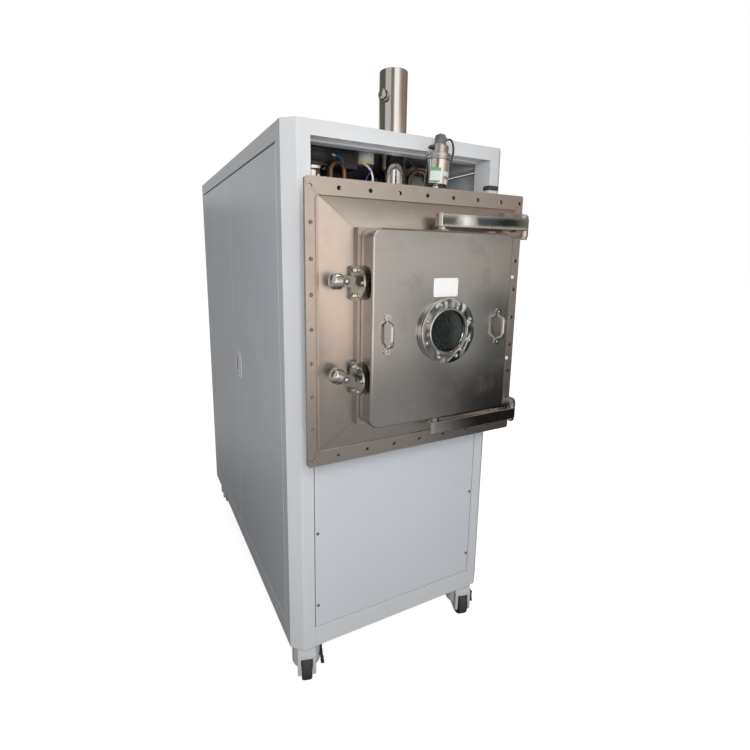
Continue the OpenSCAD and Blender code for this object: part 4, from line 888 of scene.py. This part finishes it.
def make_actuator():
    """Black actuator on a polished flanged neck with its clamp bolts."""
    foot = at(*VALVE, SERVICE_FLOOR)
    bm, neck = bmesh.new(), bmesh.new()
    for profile in (ACTUATOR, ACTUATOR_FOOT):
        lathe(bm, profile, foot, UP, 96)
    piece(bm, "valve_actuator", "black_plastic", node="isolation_valve")
    lathe(neck, VALVE_NECK, foot, UP, 96)
    for i in range(6):
        c, s = cos_sin(60 * i + 20)
        spot = foot + (X * c + OUT * s) * 45 * MM
        lathe(neck, [(5, 101), (5, 108), (4, 109), (0, 109.4)], spot, UP, 24)
        lathe(neck, [(7, 103), (7, 106), (0, 106)], spot, UP, 6)
    piece(neck, "valve_neck", "bright_steel")


def make_control_box():
    """Ribbed black housing, and a cream capacitor can with its yellow band."""
    bm, marker = bmesh.new(), bmesh.new()
    middle = at((BOX_LEFT + BOX_RIGHT) / 2, BOX_FRONT - BOX_DEEP, BOX_Z)
    plate(bm, oblong(BOX_RIGHT - BOX_LEFT - 0.6, 84.4, 4), middle, X, UP, BOX_DEEP - 0.6, 3.0)
    for x in (BOX_LEFT + 13, BOX_LEFT + 30, BOX_RIGHT - 13):
        plate(bm, oblong(3, 70, 1.2), at(x, BOX_FRONT, 1874), X, UP, 1.6, 0.6)
    plate(bm, oblong(60, 34, 3), at(BOX_LEFT + 62, BOX_FRONT, 1868), X, UP, 2.2, 1.0)
    piece(bm, "control_housing", "black_plastic", node="control_box")
    turned("capacitor_can", "cream_plastic", CAN_BODY, at(*CAN), UP, 64)
    turned("capacitor_band", "yellow_plastic", CAN_BAND, at(*CAN), UP, 64, closed=True)
    plate(marker, oblong(14, 5, 1, turn=-20), at(BOX_LEFT + 17, BOX_FRONT + 1.5, 1868), X, UP, 5, 0.8)
    piece(marker, "wire_marker", "cream_plastic")


# ---------- wires and cables ----------

GLAND = on_gauge(26, 0, 216) / MM
# name, finish, diameter, and the places that it runs through
WIRES = [
    ("gauge_cable", "black_rubber", 6.5, [
     (GLAND.x, FRONT_Y - GLAND.y, GLAND.z), (115, 55, 1904), (123, 55, 1901), (130, 54, 1890),
     (135, 51, 1875), (138, 45, 1859), (140, 34, 1841), (144, 22, 1826), (150, 8, 1808),
     (156, -4, 1786), (159, -12, 1758), (159, -16, 1722), (158, -17, 1687)]),
    ("blue_wire", "blue_vinyl", 4.5, [
     (-181, -188.5, 1866), (-181, -184, 1866), (-176, -178, 1864), (-166, -172, 1856), (-159, -170, 1842),
     (-156, -172, 1824), (-156, -178, 1796), (-158, -182, 1760), (-160, -184, 1720), (-160, -185, 1687)]),
    ("white_loom", "white_vinyl", 7, [
     (-70, -206, 1857), (-64, -196, 1852), (-56, -184, 1842), (-50, -172, 1826), (-48, -164, 1806),
     (-50, -160, 1780), (-54, -160, 1740), (-56, -160, 1687)]),
    ("violet_wire", "violet_vinyl", 3.5, [
     (-36, -206, 1853), (-37, -194, 1848), (-46, -176, 1834), (-62, -164, 1816), (-76, -158, 1796),
     (-86, -156, 1770), (-92, -156, 1730), (-94, -156, 1687)]),
    ("right_cable", "black_rubber", 7, [
     (98, -190, 1914), (100, -184, 1900), (108, -178, 1884), (124, -172, 1864), (146, -170, 1842),
     (168, -172, 1820), (184, -176, 1796), (192, -180, 1764), (196, -182, 1728), (196, -182, 1687)]),
    ("lower_cable", "black_rubber", 8, [
     (276, -299, 1846), (262, -292, 1846), (240, -284, 1850), (212, -276, 1853), (184, -270, 1850),
     (158, -268, 1838), (142, -268, 1816), (134, -270, 1786), (130, -272, 1750), (128, -272, 1687)]),
]


def make_wires():
    """Gauge cable and the looms in the open front; each runs from one housing into another."""
    for name, finish, diameter, places in WIRES:
        line = smooth_line(places)
        bm = bmesh.new()
        tube(bm, line, diameter / 2, 12)
        obj = piece(bm, name, finish)


def make_pieces():
    """Every piece that the scene adds or makes anew."""
    ease_frame()
    make_latch("upper_latch_piece", 1, 0, "upper_latch", "upper_latch_knob")
    make_latch("lower_latch_piece", -1, LOW_TURN, "lower_latch", "lower_latch_knob")
    for make in (make_latch_bases, make_handles, make_sight_frame, make_door_screws, make_label,
                 make_gauge, make_plug, make_stack, make_casters, make_pulls, make_actuator,
                 make_control_box, make_wires):
        make()


# ---------- studio ----------

ROOM_LIGHT, SOFT_LIGHT = 0.22, (0.93, 0.965, 1.0)  # how bright and what colour the plain room is
FLOOR_HALF, FLOOR_GREY = 30.0, 0.45
FLOOR_LIFT = 1.0 - FLOOR_GREY * 0.40  # makes the lit floor white to the camera
FLOOR_NEAR, FLOOR_FAR, FLOOR_GLOW = 0.05, 0.32, (1.0, 0.97, 0.94)  # in reflections
CAMERA_PLACE = (-0.8491, -1.9703, 1.5222)
CAMERA_TURN = (27.69, 10.60, 0.699)  # yaw to the right, pitch down and roll, in degrees
SENSOR, LENS, LENS_SHIFT = 36.0, 22.02, (0.0110, -0.0405)

# what reflections show, in belts of height: (azimuth from -Y towards +X in degrees, colour)
LOW_BELT = [
    (-180, (0.34, 0.36, 0.38)), (-120, 0.22), (-92, (0.50, 0.49, 0.48)),
    (-48, (0.62, 0.59, 0.56)), (-30, (1.50, 1.27, 1.12)), (-16, (1.60, 1.28, 1.10)),
    (16, (1.30, 1.04, 0.88)), (23, (0.98, 0.86, 0.78)), (28, (0.74, 0.69, 0.65)),
    (34.5, (0.50, 0.48, 0.46)), (35.5, (0.10, 0.11, 0.10)), (38.6, (0.15, 0.16, 0.14)),
    (38.9, (1.30, 1.24, 1.18)), (40.4, (1.30, 1.24, 1.18)), (40.7, (0.10, 0.115, 0.12)),
    (42.6, (0.07, 0.08, 0.08)), (43.2, (0.03, 0.035, 0.035)), (45.0, (0.03, 0.035, 0.035)),
    (45.6, (0.22, 0.23, 0.20)), (50, (0.14, 0.14, 0.13)), (115, (0.16, 0.14, 0.13)),
    (180, (0.34, 0.36, 0.38))]
HORIZON = [*LOW_BELT[:9], (38, (0.66, 0.62, 0.58)), (46, (0.40, 0.36, 0.32)), (58, (0.22, 0.19, 0.17)),
           *LOW_BELT[-2:]]
MID_BELT = [
    (-180, (0.95, 0.97, 1.0)), (-169, (0.90, 0.92, 0.95)), (-160, (0.13, 0.13, 0.11)),
    (-100, (0.12, 0.12, 0.10)), (-90, (0.62, 0.60, 0.57)), (-50, (0.62, 0.60, 0.57)),
    (-42, (0.24, 0.21, 0.21)), (-24, (0.30, 0.26, 0.26)), (-14, (1.30, 1.22, 1.12)),
    (16, (1.20, 1.10, 1.0)), (24, (0.98, 0.90, 0.82)), (33, (0.78, 0.72, 0.66)), (40, (0.58, 0.51, 0.45)),
    (48, (0.40, 0.34, 0.29)), (120, (0.16, 0.12, 0.10)), (165, 0.5), (180, (0.95, 0.97, 1.0))]
HIGH_BELT = [
    (-180, (0.30, 0.30, 0.28)), (-165, (0.12, 0.12, 0.09)), (-102, (0.12, 0.12, 0.10)),
    (-92, (0.60, 0.58, 0.55)), (-52, (0.58, 0.56, 0.53)), (-45, (0.22, 0.18, 0.20)),
    (-26, (0.30, 0.25, 0.27)), (-17, (1.15, 1.12, 1.08)), (13, (1.12, 1.08, 1.0)), (21, (0.66, 0.61, 0.55)),
    (34, (0.42, 0.37, 0.32)), (46, (0.26, 0.22, 0.19)), (70, (0.30, 0.22, 0.17)), (150, (0.13, 0.09, 0.07)),
    (180, (0.30, 0.30, 0.28))]
CEILING = (0.25, 0.235, 0.22)
TUBES = (1.7, 1.65, 1.6)


def make_world():
    """White where the camera looks past the object, soft light on it, and a room for its reflections."""
    world = bpy.data.worlds.new("studio")
    bpy.context.scene.world = world
    sky = Tree(world)
    place = sky.fill("ShaderNodeTexCoord", {}, "Generated")
    height = sky.split(place)[2]
    azimuth = sky.math("ADD", sky.math("DIVIDE", sky.azimuth(place), 2 * math.pi), 0.5)

    def over(low, high):
        """0 under one elevation and 1 over the other, in degrees."""
        return sky.rise(height, cos_sin(low)[1], cos_sin(high)[1])

    def belt(stops):
        """The colours of one belt, all the way round."""
        return sky.ramp(azimuth, [(angle / 360 + 0.5, colour) for angle, colour in stops])

    low = belt(LOW_BELT)
    room = sky.mix(over(-5, -2), low, belt(HORIZON))
    for start, end, above in ((2.6, 3.6, low), (4.9, 7, belt(MID_BELT)), (13, 18, belt(HIGH_BELT)),
                              (46, 60, CEILING)):
        room = sky.mix(over(start, end), room, above)
    lit = sky.math("MULTIPLY", over(64, 65), sky.math("SUBTRACT", 1.0, over(70, 71)))
    room = sky.mix(lit, room, TUBES)
    path = sky.add("ShaderNodeLightPath").outputs
    soft = sky.fill("ShaderNodeBackground", {"Color": SOFT_LIGHT, "Strength": ROOM_LIGHT})
    white = sky.fill("ShaderNodeBackground", {"Color": (1, 1, 1)})
    for_gloss = sky.choose(path["Is Glossy Ray"], soft, sky.fill("ShaderNodeBackground", {"Color": room}))
    seen = sky.math("MAXIMUM", path["Is Camera Ray"], path["Is Transmission Ray"])
    sky.end("ShaderNodeOutputWorld", sky.choose(seen, for_gloss, white))


def make_floor():
    """A pale floor: white to the camera where no shadow falls, and darker and brief in reflections."""
    mesh = bpy.data.meshes.new("studio_floor")
    corners = [(x * FLOOR_HALF, y * FLOOR_HALF, 0) for x, y in ((-1, -1), (1, -1), (1, 1), (-1, 1))]
    mesh.from_pydata(corners, [], [(0, 1, 2, 3)])
    floor = bpy.data.objects.new("studio_floor", mesh)
    bpy.context.scene.collection.objects.link(floor)
    floor.visible_shadow = False
    material = bpy.data.materials.new("studio_floor")
    mesh.materials.append(material)
    f = Tree(material)
    path = f.add("ShaderNodeLightPath").outputs
    place = f.fill("ShaderNodeTexCoord", {}, "Object")
    reach = f.fill("ShaderNodeVectorMath", {0: place}, "Value", operation="LENGTH")
    matt = f.fill("ShaderNodeBsdfDiffuse", {"Color": (FLOOR_GREY,) * 3})
    amount = f.math("MULTIPLY", path["Is Camera Ray"], FLOOR_LIFT)
    shown = f.fill("ShaderNodeAddShader", {0: matt, 1: f.fill("ShaderNodeEmission", {"Strength": amount})})
    shade = f.rise(f.azimuth(place), math.radians(24), math.radians(36), 1.0, 0.05)
    strength = f.math("MULTIPLY", f.rise(reach, 0.6, 2.4, FLOOR_NEAR, FLOOR_FAR), shade)
    mirrored = f.fill("ShaderNodeEmission", {"Color": FLOOR_GLOW, "Strength": strength})
    mirrored = f.choose(f.rise(reach, 4.0, 8.0), mirrored, f.fill("ShaderNodeBsdfTransparent", {}))
    f.end("ShaderNodeOutputMaterial", f.choose(path["Is Glossy Ray"], shown, mirrored))


def hang(name, lamp, towards):
    """A lamp that shines from a direction and shows in no reflection."""
    obj = bpy.data.objects.new(name, lamp)
    obj.rotation_mode = "QUATERNION"
    obj.rotation_quaternion = towards.to_track_quat("Z", "Y")
    obj.visible_glossy = False
    bpy.context.scene.collection.objects.link(obj)
    return obj


def soft_lamp(name, azimuth, elevation, strength, spread, colour=(1, 1, 1)):
    """A far soft lamp; azimuth from -Y towards +X, in degrees."""
    lamp = bpy.data.lights.new(name, "SUN")
    lamp.energy = strength
    lamp.color = colour
    lamp.angle = math.radians(spread)
    (cos_a, sin_a), (cos_e, sin_e) = cos_sin(azimuth), cos_sin(elevation)
    hang(name, lamp, Vector((sin_a * cos_e, -cos_a * cos_e, sin_e)))


def window_lamp(name, place, aim, size, power):
    """A soft lamp near the object, whose light falls off across it."""
    lamp = bpy.data.lights.new(name, "AREA")
    lamp.shape = "RECTANGLE"
    lamp.size, lamp.size_y = size
    lamp.energy = power
    obj = hang(name, lamp, Vector(place) - Vector(aim))
    obj.location = place
    obj.visible_camera = False


def make_camera():
    """The camera stands left of the door, at eye height, and looks slightly down."""
    data = bpy.data.cameras.new("camera")
    camera = bpy.data.objects.new("camera", data)
    bpy.context.scene.collection.objects.link(camera)
    bpy.context.scene.camera = camera
    data.sensor_width = SENSOR
    data.lens = LENS
    data.shift_x, data.shift_y = LENS_SHIFT
    data.clip_start, data.clip_end = 0.05, 100
    yaw, pitch, roll = (math.radians(v) for v in CAMERA_TURN)
    forward = Vector((math.sin(yaw) * math.cos(pitch), math.cos(yaw) * math.cos(pitch), -math.sin(pitch)))
    level = Vector((math.cos(yaw), -math.sin(yaw), 0))
    above = level.cross(forward)
    right = level * math.cos(roll) + above * math.sin(roll)
    up = above * math.cos(roll) - level * math.sin(roll)
    turn = Matrix((right, up, -forward)).transposed().to_4x4()
    camera.matrix_world = Matrix.Translation(CAMERA_PLACE) @ turn


def make_studio():
    """World, floor, lamps and camera."""
    bpy.context.scene.view_settings.view_transform = "Standard"
    make_world()
    make_floor()
    soft_lamp("key_lamp", -4, 34, 0.70, 40)
    soft_lamp("back_lamp", 165, 42, 0.75, 60)
    soft_lamp("side_lamp", 98, 30, 0.55, 50)
    soft_lamp("bounce_lamp", 2, -46, 0.32, 30, (0.86, 0.92, 1.0))
    window_lamp("window_lamp", (-1.1, -2.6, 1.95), (-0.25, -0.64, 1.3), (1.0, 1.0), 40)
    window_lamp("service_lamp", (0.0, -0.69, 1.752), (0.0, -0.60, 1.95), (0.62, 0.05), 0.30)
    make_camera()


# ---------- the scene ----------

dress_frame()
make_studio()
make_pieces()


def corners(bounds):
    return [list(bounds[0]), list(bounds[1])]
